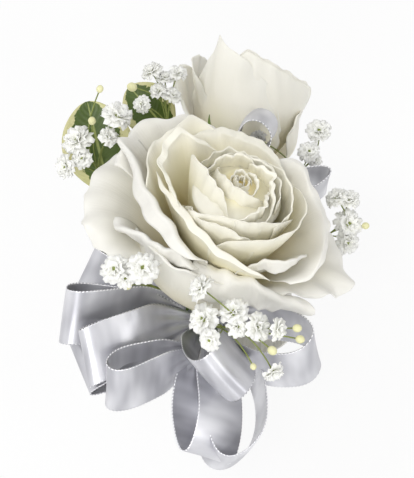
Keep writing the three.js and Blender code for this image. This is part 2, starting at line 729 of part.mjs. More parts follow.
function leafBlade({ stem, tip, width }) {
  const base = face(...stem.end);
  const end = face(...tip);
  const out = faceDirection(0, 0, 1);
  const across = end.clone().sub(base).cross(out).normalize();
  const rows = [];
  for (let step = 0; step <= LEAF_STEPS; step += 1) {
    const along = step / LEAF_STEPS;
    const swell = Math.sin(Math.PI * along ** LEAF_FULLNESS);
    const half = lerp(LEAF_STALK_RADIUS, width / 2, swell);
    const middle = base.clone().lerp(end, along);
    middle.addScaledVector(out, LEAF_ARCH * Math.sin(Math.PI * along));
    const edge = (side) =>
      middle.clone().addScaledVector(across, side * half).addScaledVector(out, LEAF_FOLD * swell);
    rows.push([edge(-1), middle, edge(1)]);
  }
  return sheet(rows, LEAF_THICKNESS);
}

for (const [name, made] of Object.entries(leaves)) {
  add(name, join([leafBlade(made), tube(stemPath(made.stem), LEAF_STALK_RADIUS, 8, 5)]), leafGreen);
  stemTools.push(tube(stemPath(made.stem), LEAF_STALK_RADIUS + FIT_GAP, 8, 5));
}

// Stem wrap: the taped bundle, with a socket for every stem that it holds.

function wrapBlank(gap) {
  const [radius, front, back] = [WRAP_RADIUS + gap, WRAP_FRONT - gap, WRAP_BACK + gap];
  const profile = [
    [0, front],
    [radius - WRAP_END_ROUND, front],
    [radius, front + WRAP_END_ROUND],
    [radius, back - WRAP_END_ROUND],
    [radius - WRAP_END_ROUND, back],
    [0, back],
  ];
  return turned(profile, 16).rotateX(-Math.PI / 2).translate(0, 0, WRAP_Z);
}

function flowerTool(stem, radius) {
  return stemTube(stem, radius + FIT_GAP).applyMatrix4(stem.frame.matrixWorld);
}
stemTools.push(flowerTool(roseStem, ROSE_STEM_RADIUS));
stemTools.push(flowerTool(budStem, BUD_STEM_RADIUS));
add("stem_wrap", cut(wrapBlank(0), stemTools), floralTape);

function bindingRing(gap) {
  const inner = WRAP_RADIUS + FIT_GAP - gap;
  const outer = WRAP_RADIUS + FIT_GAP + BINDING_THICKNESS + gap;
  const half = BINDING_LENGTH / 2 + gap;
  const profile = [[inner, -half], [outer, -half], [outer, half], [inner, half], [inner, -half]];
  return turned(profile, 16).rotateX(-Math.PI / 2).translate(0, BINDING_Y, WRAP_Z);
}
add("bow_binding", bindingRing(0), bindingWire);

// Ribbon loops: each leaves the bow, swells to its tip and comes back, gathered where it is bound.

const LOOP_STEPS = 22;
const LOOP_START = 0.07; // share of the loop hidden in the binding at each end
const FULL_RIBBON_AT = 0.5; // share of the reach at which the gathers have opened out

// How far sin(t) sin(t / 2) ^ full swings from side to side, which the opening of a loop is divided by.
const teardropWidth = (full) => (4 * ((full + 1) / (full + 2)) ** ((full + 1) / 2)) / Math.sqrt(full + 2);

// The bow bends a loop's middle line to one side between its root and its tip, a higher power full moves
// the opening towards the tip, and the droop shifts the strand that is nearer to the viewer.
function loopRows({ root, tip, width, opening, bow = 0, full = 1, droop = [0, 0, 0] }, grow) {
  const heading = face(...tip).sub(root);
  const length = heading.length();
  heading.normalize();
  const lay = faceDirection(...width);
  lay.addScaledVector(heading, -lay.dot(heading)).normalize();
  const swell = heading.clone().cross(lay);
  const nearer = Math.sign(swell.dot(faceDirection(0, 0, 1)));
  const shift = face(...droop).sub(face(0, 0, 0));
  const rows = [];
  for (let step = 0; step <= LOOP_STEPS; step += 1) {
    const turn = 2 * Math.PI * lerp(LOOP_START, 1 - LOOP_START, step / LOOP_STEPS);
    const along = Math.sin(turn / 2) ** 2;
    const teardrop = (opening / teardropWidth(full)) * Math.sin(turn) * Math.sin(turn / 2) ** full;
    const aside = teardrop + bow * Math.sin(Math.PI * along);
    const spread = THREE.MathUtils.smoothstep(along, 0, FULL_RIBBON_AT);
    const half = (RIBBON_WIDTH / 2) * lerp(RIBBON_PINCH, 1, spread) + grow;
    const middle = root.clone().addScaledVector(heading, along * length).addScaledVector(swell, aside);
    middle.addScaledVector(shift, Math.max(0, nearer * Math.sin(turn)));
    rows.push([-1, 1].map((side) => middle.clone().addScaledVector(lay, side * half)));
  }
  return rows;
}

const bowRoot = vector(0, BINDING_Y, WRAP_Z);
const backRoot = socket(atBack(4), 60, 0);
const loops = {
  ribbon_centre: { root: bowRoot, tip: [4.8, -43, 17.5], width: [0.6, -0.72, -0.35], opening: 13.5 },
  ribbon_right: {
    root: bowRoot,
    tip: [35.5, -36.5, 0],
    width: [0.3, -0.65, -0.7],
    opening: 15,
    droop: [0, -2.5, 0],
  },
  ribbon_low_left: {
    root: bowRoot,
    tip: [-31, -44, 14],
    width: [0.62, -0.66, -0.42],
    opening: 18,
    full: 3,
    droop: [0, -5, 1],
  },
  ribbon_middle: { root: bowRoot, tip: [-38, -35, 10], width: [0.42, -0.85, -0.3], opening: 11, full: 3 },
  ribbon_left: { root: bowRoot, tip: [-46.4, -24.3, 0], width: [0.1, -0.66, -0.74], opening: 11, full: 2 },
  ribbon_bottom_left: { root: bowRoot, tip: [0.5, -69, 5], width: [0.35, 0.15, 0.92], opening: 15 },
  ribbon_bottom_ring: {
    root: bowRoot,
    tip: [8, -71.5, 0],
    width: [0.25, 0.1, 0.96],
    opening: 16,
    bow: -4.5,
  },
  ribbon_back_left: { root: bowRoot, tip: [-41.3, -42.6, -8], width: [0.35, -0.8, 0.45], opening: 9 },
  ribbon_high_left: { root: bowRoot, tip: [-42.6, -13.8, -10], width: [0.55, -0.6, 0.58], opening: 8 },
  ribbon_top: { root: backRoot, tip: [20, 42, -22], width: [0.2, -0.2, 0.96], opening: 12.5 },
  ribbon_far_right: { root: backRoot, tip: [43, 16, -36], width: [0.25, 0.95, -0.2], opening: 9 },
};

const ribbonTools = [bindingRing(FIT_GAP), wrapBlank(FIT_GAP)];
for (const [name, loop] of Object.entries(loops)) {
  add(name, cut(sheet(loopRows(loop, 0), RIBBON_THICKNESS), ribbonTools), satin);
  ribbonTools.push(sheet(loopRows(loop, FIT_GAP), RIBBON_THICKNESS + 2 * FIT_GAP));
}

export default corsage;
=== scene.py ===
# %% [markdown]
# # A wrist corsage
# Two white roses, gypsophila, two variegated leaves and a bow of satin ribbon are bound to one taped
# wrap of stems, which a small clip holds on an elastic wristlet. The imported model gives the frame: its
# bodies, its joints and the place of every piece. This lesson dresses that frame, piece by piece.

# %% Load the frame
import json
import math

import bmesh
import bpy
import numpy as np
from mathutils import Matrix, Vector


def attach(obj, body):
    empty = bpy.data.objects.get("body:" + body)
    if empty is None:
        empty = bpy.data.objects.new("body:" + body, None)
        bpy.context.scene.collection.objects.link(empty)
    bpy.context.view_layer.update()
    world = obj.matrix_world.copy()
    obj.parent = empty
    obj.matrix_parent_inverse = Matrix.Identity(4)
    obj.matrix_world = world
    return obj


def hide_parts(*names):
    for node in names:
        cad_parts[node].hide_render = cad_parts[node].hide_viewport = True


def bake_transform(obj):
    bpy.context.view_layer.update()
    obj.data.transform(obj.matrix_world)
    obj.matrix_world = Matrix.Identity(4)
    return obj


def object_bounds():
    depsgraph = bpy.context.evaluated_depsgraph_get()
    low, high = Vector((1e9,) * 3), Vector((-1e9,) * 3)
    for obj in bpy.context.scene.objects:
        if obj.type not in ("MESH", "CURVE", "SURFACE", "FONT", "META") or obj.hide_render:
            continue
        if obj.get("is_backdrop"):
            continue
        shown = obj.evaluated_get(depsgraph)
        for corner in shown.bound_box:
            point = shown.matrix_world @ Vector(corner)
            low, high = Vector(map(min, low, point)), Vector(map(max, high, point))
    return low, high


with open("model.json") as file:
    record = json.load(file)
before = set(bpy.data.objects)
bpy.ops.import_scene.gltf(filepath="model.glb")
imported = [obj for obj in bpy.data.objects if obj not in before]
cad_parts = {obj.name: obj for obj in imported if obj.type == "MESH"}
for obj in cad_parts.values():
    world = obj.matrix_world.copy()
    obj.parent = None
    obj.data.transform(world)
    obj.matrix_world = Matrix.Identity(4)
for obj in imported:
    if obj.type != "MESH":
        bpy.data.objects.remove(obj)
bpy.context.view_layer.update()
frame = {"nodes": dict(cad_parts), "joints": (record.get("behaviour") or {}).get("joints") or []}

MM = 0.001  # the pieces are worked out in millimetres, and Blender is in metres

# %% [markdown]
# ## Camera
# The corsage is seen from 60 degrees above the horizon, so its flowers lie in a plane that faces the
# viewer. Points given as right, up and out in that plane are easy to read off a picture of it. A long
# lens 520 mm away keeps the perspective gentle, and its focal length follows from the picture's height.

# %% Camera
IMAGE_HEIGHT = 478  # pixels
PIXEL = 0.32  # millimetres in the plane of the flowers
VIEW_ELEVATION = 60
VIEW_MIDDLE = np.array([0.0, -8.0, 76.0])
VIEW_DISTANCE = 520
SENSOR = 36

tilt = math.radians(90 - VIEW_ELEVATION)
RIGHT = np.array([1.0, 0.0, 0.0])
UP = np.array([0.0, math.cos(tilt), math.sin(tilt)])
OUT = np.array([0.0, -math.sin(tilt), math.cos(tilt)])


def face(right, up, out):
    """A point of the plane of the flowers: its middle plus so much right, up and out to the viewer."""
    return VIEW_MIDDLE + right * RIGHT + up * UP + out * OUT


camera = bpy.data.objects.new("camera", bpy.data.cameras.new("camera"))
camera.data.sensor_width = SENSOR
camera.data.lens = SENSOR * VIEW_DISTANCE / (PIXEL * IMAGE_HEIGHT)
camera.location = Vector((VIEW_MIDDLE + VIEW_DISTANCE * OUT) * MM)
camera.rotation_euler = (tilt, 0, 0)
bpy.context.collection.objects.link(camera)
bpy.context.scene.camera = camera
print("lens", round(camera.data.lens, 1), "mm")

# %% [markdown]
# ## Lamps
# Petals show their form by soft shading and satin by streaks, so one broad light would flatten both. Four
# small lamps stand round the corsage instead: a key at the upper left, a weaker one beside the camera, one
# from below and one from the right. Their places are given in the plane of the flowers.

# %% Lamps
LAMPS = {  # right, up and out in millimetres, edge in metres, power in watts
    "key": (-520, 420, 620, 0.22, 1.7),
    "front": (-110, 10, 760, 0.2, 1.1),
    "low": (-80, -420, 560, 0.2, 1.1),
    "side": (620, -160, 560, 0.14, 0.7),
}


def lamp(name, right, up, out, edge, power):
    """A square lamp at a place in the plane of the flowers, turned to their middle."""
    light = bpy.data.lights.new(name, "AREA")
    light.size = edge
    light.energy = power
    made = bpy.data.objects.new(name, light)
    made.location = Vector(face(right, up, out) * MM)
    aim = Vector(VIEW_MIDDLE * MM) - made.location
    made.rotation_euler = aim.to_track_quat("-Z", "Y").to_euler()
    bpy.context.collection.objects.link(made)


for name, values in LAMPS.items():
    lamp(name, *values)
print(len(LAMPS), "lamps")

# %% [markdown]
# ## World
# Light from all round fills the folds, so that white petals stay white in their own shade. A plain pale
# world gives it. Rays that look at the world, straight or by reflection, find it white, and rays that carry
# light find it less bright. A Light Path node tells the two kinds apart.

# %% World
bpy.context.scene.view_settings.view_transform = "Standard"
WORLD_LIGHT = 0.68
WHITE = (1, 1, 1, 1)


def new_node(tree, kind, inputs=(), **settings):
    """A shader node with its settings. An input is a plain value, or the socket that feeds it."""
    made = tree.nodes.new(kind)
    for key, value in settings.items():
        setattr(made, key, value)
    for key, value in dict(inputs).items():
        if isinstance(value, bpy.types.NodeSocket):
            tree.links.new(value, made.inputs[key])
        else:
            made.inputs[key].default_value = value
    return made


def seen_plainly(tree):
    """1 for rays that look straight, by reflection or through glass, and 0 for rays that carry light."""
    rays = new_node(tree, "ShaderNodeLightPath").outputs
    share = rays["Is Camera Ray"]
    for kind in ("Is Glossy Ray", "Is Transmission Ray"):
        share = new_node(tree, "ShaderNodeMath", {0: share, 1: rays[kind]}, operation="MAXIMUM").outputs[0]
    return share


world = bpy.data.worlds.new("studio")
bpy.context.scene.world = world
world.use_nodes = True
tree = world.node_tree
levels = {"Value": seen_plainly(tree), "To Min": WORLD_LIGHT, "To Max": 1.0}
background = tree.nodes["Background"]
background.inputs["Color"].default_value = WHITE
tree.links.new(new_node(tree, "ShaderNodeMapRange", levels).outputs["Result"], background.inputs["Strength"])
print("a white world that lights at", WORLD_LIGHT)

# %% [markdown]
# ## Floor
# A white sheet lies under the corsage. Its material is part glow and part matte: the glow makes it white to
# the camera, and the matte part answers to the light, so the floor keeps a soft shadow. A stretched wristlet
# reaches further down, so the floor lies at the end of that stretch.

# %% Floor
FLOOR_GLOW = 0.86  # share of the floor's white that no shadow touches
FLOOR_MATTE = (0.9, 0.9, 0.9, 1)
FLOOR_HALF = 4000

white_floor = bpy.data.materials.new("white_floor")
white_floor.use_nodes = True
tree = white_floor.node_tree
tree.nodes.remove(tree.nodes["Principled BSDF"])
matte = new_node(tree, "ShaderNodeBsdfDiffuse", {"Color": FLOOR_MATTE}).outputs[0]
glow = new_node(tree, "ShaderNodeEmission", {"Color": WHITE, "Strength": 1.0}).outputs[0]
share = new_node(tree, "ShaderNodeMath", {0: seen_plainly(tree), 1: FLOOR_GLOW}, operation="MULTIPLY")
mixed = new_node(tree, "ShaderNodeMixShader", {"Fac": share.outputs[0], 1: matte, 2: glow})
tree.links.new(mixed.outputs[0], tree.nodes["Material Output"].inputs["Surface"])
stretch = next(joint for joint in frame["joints"] if joint["name"] == "band_stretch")
floor_z = -stretch["range_m"][1]
half = FLOOR_HALF * MM
corners = [(x * half, y * half, floor_z) for x, y in ((-1, -1), (1, -1), (1, 1), (-1, 1))]
floor_mesh = bpy.data.meshes.new("floor")
floor_mesh.from_pydata(corners, [], [(0, 1, 2, 3)])
floor_mesh.materials.append(white_floor)
floor = bpy.data.objects.new("floor", floor_mesh)
bpy.context.collection.objects.link(floor)
floor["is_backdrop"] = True
print("a floor", round(-floor_z / MM), "mm below the wristlet at rest")

# %% [markdown]
# ## From a grid of points to a mesh
# Every new piece starts as arrays: one or more grids of points, each a formula of two parameters. A mesh
# could be built corner by corner, but foreach_set takes whole arrays at once, which is short and quick.
# UVs run across and along each grid, so that a finish can follow the surface.

# %% Grids


def grid(rows, columns, low=-1.0):
    """u from low to 1 across the columns and v from 0 to 1 along the rows, as two arrays."""
    v, u = np.meshgrid(np.linspace(0, 1, rows), np.linspace(low, 1, columns), indexing="ij")
    return u, v


def fill_mesh(mesh, patches, run):
    """Puts the patches into a mesh: grids of points shaped (rows, columns, 3), in millimetres.

    UVs go from 0 to 1 across the columns and from 0 to run along the rows.
    """
    places, faces, charts = [], [], []
    count = 0
    for points in patches:
        rows, columns = points.shape[:2]
        ids = count + np.arange(rows * columns).reshape(rows, columns)
        ring = (ids[:-1, :-1], ids[:-1, 1:], ids[1:, 1:], ids[1:, :-1])
        faces.append(np.stack(ring, axis=-1).reshape(-1, 4))
        charts.append(np.stack(grid(rows, columns, 0.0), axis=-1).reshape(-1, 2) * (1, run))
        places.append(points.reshape(-1, 3))
        count += rows * columns
    faces = np.concatenate(faces)
    mesh.vertices.add(count)
    mesh.vertices.foreach_set("co", np.concatenate(places).ravel() * MM)
    mesh.loops.add(faces.size)
    mesh.loops.foreach_set("vertex_index", faces.ravel())
    mesh.polygons.add(len(faces))
    mesh.polygons.foreach_set("loop_start", np.arange(0, faces.size, 4))
    chart = mesh.uv_layers.new(name="UVMap")
    chart.data.foreach_set("uv", np.concatenate(charts)[faces].ravel())
    mesh.update(calc_edges=True)


print("a grid of 3 rows and 5 columns has", grid(3, 5)[0].size, "points")

# %% [markdown]
# ## From a mesh to a piece
# A tube meets itself along a seam, and a bud ends in a pole. Corners that coincide there are welded, so
# that the shape closes. Petals and ribbon are thin sheets, and a Solidify modifier gives them their
# thickness. A piece rides on a body of the frame, and stands for the solids that it replaces.

# %% Pieces
WELD = 0.002


def weld(mesh, closed):
    """Joins corners that coincide, and turns the faces of closed shapes outwards."""
    work = bmesh.new()
    work.from_mesh(mesh)
    bmesh.ops.remove_doubles(work, verts=work.verts, dist=WELD * MM)
    if closed:
        bmesh.ops.recalc_face_normals(work, faces=work.faces)
    work.to_mesh(mesh)
    work.free()
    mesh.polygons.foreach_set("use_smooth", np.ones(len(mesh.polygons), bool))


def piece(name, patches, finish, nodes=(), body="spray", thickness=0.0, run=1.0):
    """An object made of patches that rides on a body and stands for the nodes that it replaces."""
    mesh = bpy.data.meshes.new(name)
    fill_mesh(mesh, patches, run)
    weld(mesh, closed=not thickness)
    mesh.materials.append(finish)
    made = bpy.data.objects.new(name, mesh)
    bpy.context.collection.objects.link(made)
    if thickness:
        wall = made.modifiers.new("thickness", "SOLIDIFY")
        wall.thickness = thickness * MM
        wall.offset = 0
    if body:
        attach(made, body)
    if nodes:
        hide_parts(*nodes)
    return made


print("corners less than", WELD, "mm apart are welded")

# %% [markdown]
# ## Finishes
# A finish is a Principled shader with textures on the sockets that vary. What is the same all over a
# finish is set on the shader's own socket. Colours are written as they look on a screen, because that is
# how they are picked, and turned into the linear values that shaders work with.

# %% Finish


def srgb(red, green, blue):
    """A colour as it looks on a screen, 0 to 255, as linear values: a power of 2.4, straight near black."""
    share = np.array([red, green, blue]) / 255
    linear = np.where(share <= 0.04045, share / 12.92, ((share + 0.055) / 1.055) ** 2.4)
    return (*linear.tolist(), 1.0)


def new_finish(name, **sockets):
    """A Principled material with plain values on its sockets, and its node tree and shader."""
    made = bpy.data.materials.new(name)
    made.use_nodes = True
    shader = made.node_tree.nodes["Principled BSDF"]
    for key, value in sockets.items():
        shader.inputs[key.replace("_", " ")].default_value = value
    return made, made.node_tree, shader


print("middle grey on a screen is", round(srgb(128, 128, 128)[0], 3), "in a shader")

# %% [markdown]
# ## Patterns
# No real surface is quite even. Patterns read the UVs where they follow the surface, such as the veins of
# a petal, and Object coordinates where they don't, so they stay put when a piece moves. An image could do
# the same, but nodes need no file. Each helper adds a node or two and gives back the socket to use.

# %% Patterns
EVEN = (1, 1, 1)  # a pattern with the same scale along all three axes


def noise(tree, coordinates, stretch, scale=1.0, detail=3.0):
    """Smooth noise between 0 and 1 over the UV or Object coordinates, stretched along their axes."""
    source = new_node(tree, "ShaderNodeTexCoord").outputs[coordinates]
    place = new_node(tree, "ShaderNodeMapping", {"Vector": source, "Scale": stretch}).outputs["Vector"]
    inputs = {"Vector": place, "Scale": scale, "Detail": detail}
    return new_node(tree, "ShaderNodeTexNoise", inputs).outputs["Fac"]


def along(tree, axis):
    """One coordinate of the UV map: X runs across a grid's columns and Y along its rows."""
    chart = new_node(tree, "ShaderNodeUVMap").outputs["UV"]
    return new_node(tree, "ShaderNodeSeparateXYZ", {"Vector": chart}).outputs[axis]


def maths(tree, operation, first, second=0.0):
    """An arithmetic node whose inputs are sockets or numbers."""
    return new_node(tree, "ShaderNodeMath", {0: first, 1: second}, operation=operation).outputs[0]


def from_middle(tree):
    """Distance from the middle line of a grid, 0 there and 0.5 at either edge."""
    return maths(tree, "ABSOLUTE", maths(tree, "SUBTRACT", along(tree, "X"), 0.5))


def ramp(tree, value, stops):
    """A colour for a value between 0 and 1, from (place, colour) stops."""
    made = new_node(tree, "ShaderNodeValToRGB", {"Fac": value})
    elements = made.color_ramp.elements
    elements.remove(elements[1])
    elements[0].position, elements[0].color = stops[0]
    for place, colour in stops[1:]:
        elements.new(place).color = colour
    return made.outputs["Color"]


def tint(tree, colour, other, share):
    """The first colour mixed with the other by a share that varies."""
    return new_node(tree, "ShaderNodeMix", {6: colour, 7: other, 0: share}, data_type="RGBA").outputs[2]


print("patterns over UV or Object coordinates, by noise, ramps and tints")

# %% [markdown]
# ## From patterns to the shader
# A pattern can colour a surface, make it rougher or smoother, and raise it. These three helpers join it to
# the shader. The bump only adds what is finer than the mesh, such as veins and threads.

# %% Shader inputs


def paint(tree, shader, colour):
    """The colour of the surface, from a socket."""
    tree.links.new(colour, shader.inputs["Base Color"])


def rough(tree, shader, value, low, high):
    """Roughness between two levels, by a value between 0 and 1."""
    made = new_node(tree, "ShaderNodeMapRange", {"Value": value, "To Min": low, "To Max": high})
    tree.links.new(made.outputs["Result"], shader.inputs["Roughness"])


def bump(tree, shader, height, strength, distance):
    """Raises the surface by a height that varies, distance in millimetres."""
    inputs = {"Height": height, "Strength": strength, "Distance": distance * MM}
    made = new_node(tree, "ShaderNodeBump", inputs)
    tree.links.new(made.outputs["Normal"], shader.inputs["Normal"])


print("patterns feed colour, roughness and bump")

# %% [markdown]
# ## Petal finish
# A white rose is ivory at its rims and turns cream, then straw, towards the foot of each petal, and fine
# veins run from foot to rim. Plain white would look like paper. A ramp along the petal gives the change of
# colour, a little subsurface scattering the light that passes through, and sheen the velvet of its skin.
# There are three shades of it: cream for hearts and inner petals, ivory for the outer petals of the open
# rose, and a pale one for the half-open rose.

# %% Petal finish


def petal_finish(name, foot, middle, rim):
    """Colour from foot to rim along UV Y, dulled in soft clouds, and veins that follow the petal."""
    made, tree, shader = new_finish(
        name,
        Subsurface_Weight=0.15,
        Subsurface_Radius=(1.0, 0.95, 0.85),
        Subsurface_Scale=2 * MM,
        Sheen_Weight=0.1,
        Sheen_Roughness=0.5,
        Specular_IOR_Level=0.5,
    )
    shade = ramp(tree, along(tree, "Y"), [(0.12, foot), (0.45, middle), (0.75, rim), (1.0, rim)])
    cloud = noise(tree, "Object", EVEN, 140, 4)
    veins = noise(tree, "UV", (70, 3, 1), 1.0, 4)
    paint(tree, shader, tint(tree, shade, srgb(222, 218, 200), maths(tree, "MULTIPLY", cloud, 0.16)))
    rough(tree, shader, veins, 0.36, 0.54)
    bump(tree, shader, veins, 0.5, 0.18)
    return made


cream = petal_finish("cream_petal", srgb(238, 215, 136), srgb(236, 229, 193), srgb(241, 238, 224))
ivory = petal_finish("ivory_petal", srgb(224, 213, 172), srgb(221, 218, 205), srgb(237, 235, 228))
pale = petal_finish("pale_petal", srgb(232, 223, 182), srgb(242, 238, 224), srgb(245, 243, 233))
print("finishes", cream.name, ivory.name, pale.name)

# %% [markdown]
# ## Rim of a petal
# What the eye reads on a rose is the rims of its petals. So a petal is given by a few places along its rim,
# each as degrees round the flower, distance from its axis and height, and a smooth curve runs through them.
# Spline objects could carry such curves too, but arrays go straight on into the petal's surface.

# %% Rim curve


def lerp(start, end, share):
    """The value that lies a share of the way from start to end."""
    return start + (end - start) * share


def smooth_path(points, count):
    """A smooth curve through a few points: cubic pieces whose slopes are centred differences."""
    points = np.asarray(points, float)
    steps = np.sqrt(np.linalg.norm(np.diff(points, axis=0), axis=1))
    knots = np.concatenate(([0], np.cumsum(steps)))
    slopes = np.gradient(points, knots, axis=0)
    t = np.linspace(0, knots[-1], count)
    low = np.clip(np.searchsorted(knots, t, side="right") - 1, 0, len(knots) - 2)
    width = (knots[low + 1] - knots[low])[:, None]
    s = (t - knots[low])[:, None] / width
    rise, drop = s * s * (3 - 2 * s), (1 - s) ** 2 * (1 + 2 * s)
    bend = s * (1 - s) ** 2 * slopes[low] - s * s * (1 - s) * slopes[low + 1]
    return drop * points[low] + rise * points[low + 1] + width * bend


print("half way between two places of a rim:", smooth_path([(-40, 20), (0, 24), (40, 20)], 5).round(1)[1])

# %% [markdown]
# ## Petal surface
# A rose petal grows on a domed seat, bellies out, rises or lies back to its rim, and rolls the rim over. A
# cubic curve joins each point of the rim to the seat, which gives closed and open petals from one formula.
# The roll bends on past the rim, and ruffles keep it from looking stamped.

# %% Petal surface
SEAT_CROWN = 3  # height of the domed seat at the flower's axis
SEAT_FALL = 0.02
PETAL_THICKNESS = 0.22
BLADE = 0.78  # share of a petal's rows before the roll of its rim
REACH_HANDLES = (6, 9, 4, -9)  # handles of the cubic curve: shut and open foot, then shut and open tip
RISE_HANDLES = (12, 9, -14, 9)
AXIS_GAP = 0.15  # no petal comes nearer to the axis
FOOT_WIDTH = 0.5  # share of a petal's angle at its foot


def seat_height(reach):
    """Height of the domed seat: its crown less a fall with the square of the reach."""
    return SEAT_CROWN - SEAT_FALL * reach * reach


def ruffles(u, t, phase):
    """Waves and a finer frill that grow towards the rim, and creases that run down from it: all sines."""
    waves = np.sin(2.9 * u + phase) + 0.6 * np.sin(6.7 * u + 1.9 * phase)
    frill = np.sin(12 * u + 2.3 * phase + 1.5 * np.sin(4 * u)) * (0.6 + 0.4 * np.sin(3 * u + phase))
    creases = np.sin(13 * u + 2 * np.sin(3 * t + phase)) * np.sin(5 * u - 2 * phase)
    return t**4 * waves + 0.8 * t**9 * frill + 0.8 * t * t * creases


def petal(
    rim, seat, height, belly=0.0, flap=0.7, curl=0.4, bend=60, taper=3, ruffle=0.5, phase=0.0,
    rows=44, columns=73,
):
    """A petal's points from the places along its rim.

    Each column is a cubic curve from the seat to the rim: a closed petal leaves the seat steeply and
    folds in at its tip, an open one lies out and falls. Past the rim a column bends back over a radius
    of curl and runs straight on as a flap, which tapers to the sides. Ruffles lift the petal along its
    normal, and its outline is a little ragged.
    """
    u, v = grid(rows, columns)
    azimuth, reach, rise = smooth_path(rim, columns).T
    openness = np.clip((reach / height + 1 - rise / height) / 2, 0, 1)
    t = np.minimum(v / BLADE, 1)
    s = 1 - t
    ends = ((seat, reach, belly, REACH_HANDLES), (seat_height(seat), rise, -belly, RISE_HANDLES))
    places, slopes = [], []
    for foot, tip, bulge, (shut_foot, open_foot, shut_tip, open_tip) in ends:
        first = foot + lerp(shut_foot, open_foot, openness) + bulge
        second = tip + lerp(shut_tip, open_tip, openness)
        places.append(s**3 * foot + 3 * s * s * t * first + 3 * s * t * t * second + t**3 * tip)
        slopes.append(s * s * (first - foot) + 2 * s * t * (second - first) + t * t * (tip - second))
    (r, z), (dr, dz) = places, slopes / np.hypot(*slopes)
    past = np.maximum(v - BLADE, 0) / (1 - BLADE) * flap * (1 - np.abs(u) ** taper)
    turn = np.minimum(past / curl, math.radians(bend))
    straight = past - curl * turn
    ragged = np.sin(17 * u + 3 * phase) + 0.5 * np.sin(31 * u + phase)
    on = curl * np.sin(turn) + straight * np.cos(turn) + 0.5 * ruffle * v**6 * ragged
    proud = curl * (1 - np.cos(turn)) + straight * np.sin(turn) + ruffle * ruffles(u, t, phase)
    r = np.maximum(r + dr * on + dz * proud, AXIS_GAP)
    z = z + dz * on - dr * proud
    middle = azimuth.mean()
    widening = np.sin(np.pi / 2 * np.minimum(1, t * 1.5))
    angle = np.radians(middle + (azimuth - middle) * lerp(FOOT_WIDTH, 1, widening))
    return np.stack((r * np.cos(angle), r * np.sin(angle), z), axis=-1)


print("a petal is a grid of", petal([(-40, 20, 28), (0, 24, 32), (40, 20, 28)], 5, 46).shape)

# %% [markdown]
# ## A flower's own frame
# Petals are worked out round an axis that points up, and each rose then leans its own way. The shortest
# turn from the vertical to its axis leaves the degrees round the flower easy to read in a picture. Later
# petals sit further out on the seat, as they do on the real flower, so they don't grow through each other.

# %% Flower frame
PETAL_SEAT = 4.2  # where the innermost petal sits
PETAL_SEAT_STEP = 0.6


def shortest_turn(direction):
    """The rotation matrix that takes +Z to a direction: I + K + K2/(1 + z), K its cross product."""
    x, y, z = direction / np.linalg.norm(direction)
    cross = np.array([[0, 0, x], [0, 0, y], [-x, -y, 0]])
    return np.eye(3) + cross + cross @ cross / (1 + z)


def placed(points, turn, origin):
    """Points of a flower's own frame, turned and moved to their place."""
    return points @ turn.T + origin


def petal_seat(number):
    """How far from the axis a petal sits: one step more for each petal, counted from the heart."""
    return PETAL_SEAT + PETAL_SEAT_STEP * (number - 1)


def petal_pieces(kind, flower, shapes, finishes, height, phase, turn, place):
    """One piece for each petal, numbered from the heart outwards, its ruffles shifted by a phase."""
    for number, (shape, finish) in enumerate(zip(shapes, finishes), 1):
        points = petal(seat=petal_seat(number), height=height, phase=phase * number, **shape)
        node = f"{flower}_petal_{number:02d}"
        piece(f"{kind}_{node}", [placed(points, turn, place)], finish, [node],
              thickness=PETAL_THICKNESS)


print("the first petal sits at", petal_seat(1), "mm and the tenth at", round(petal_seat(10), 1))
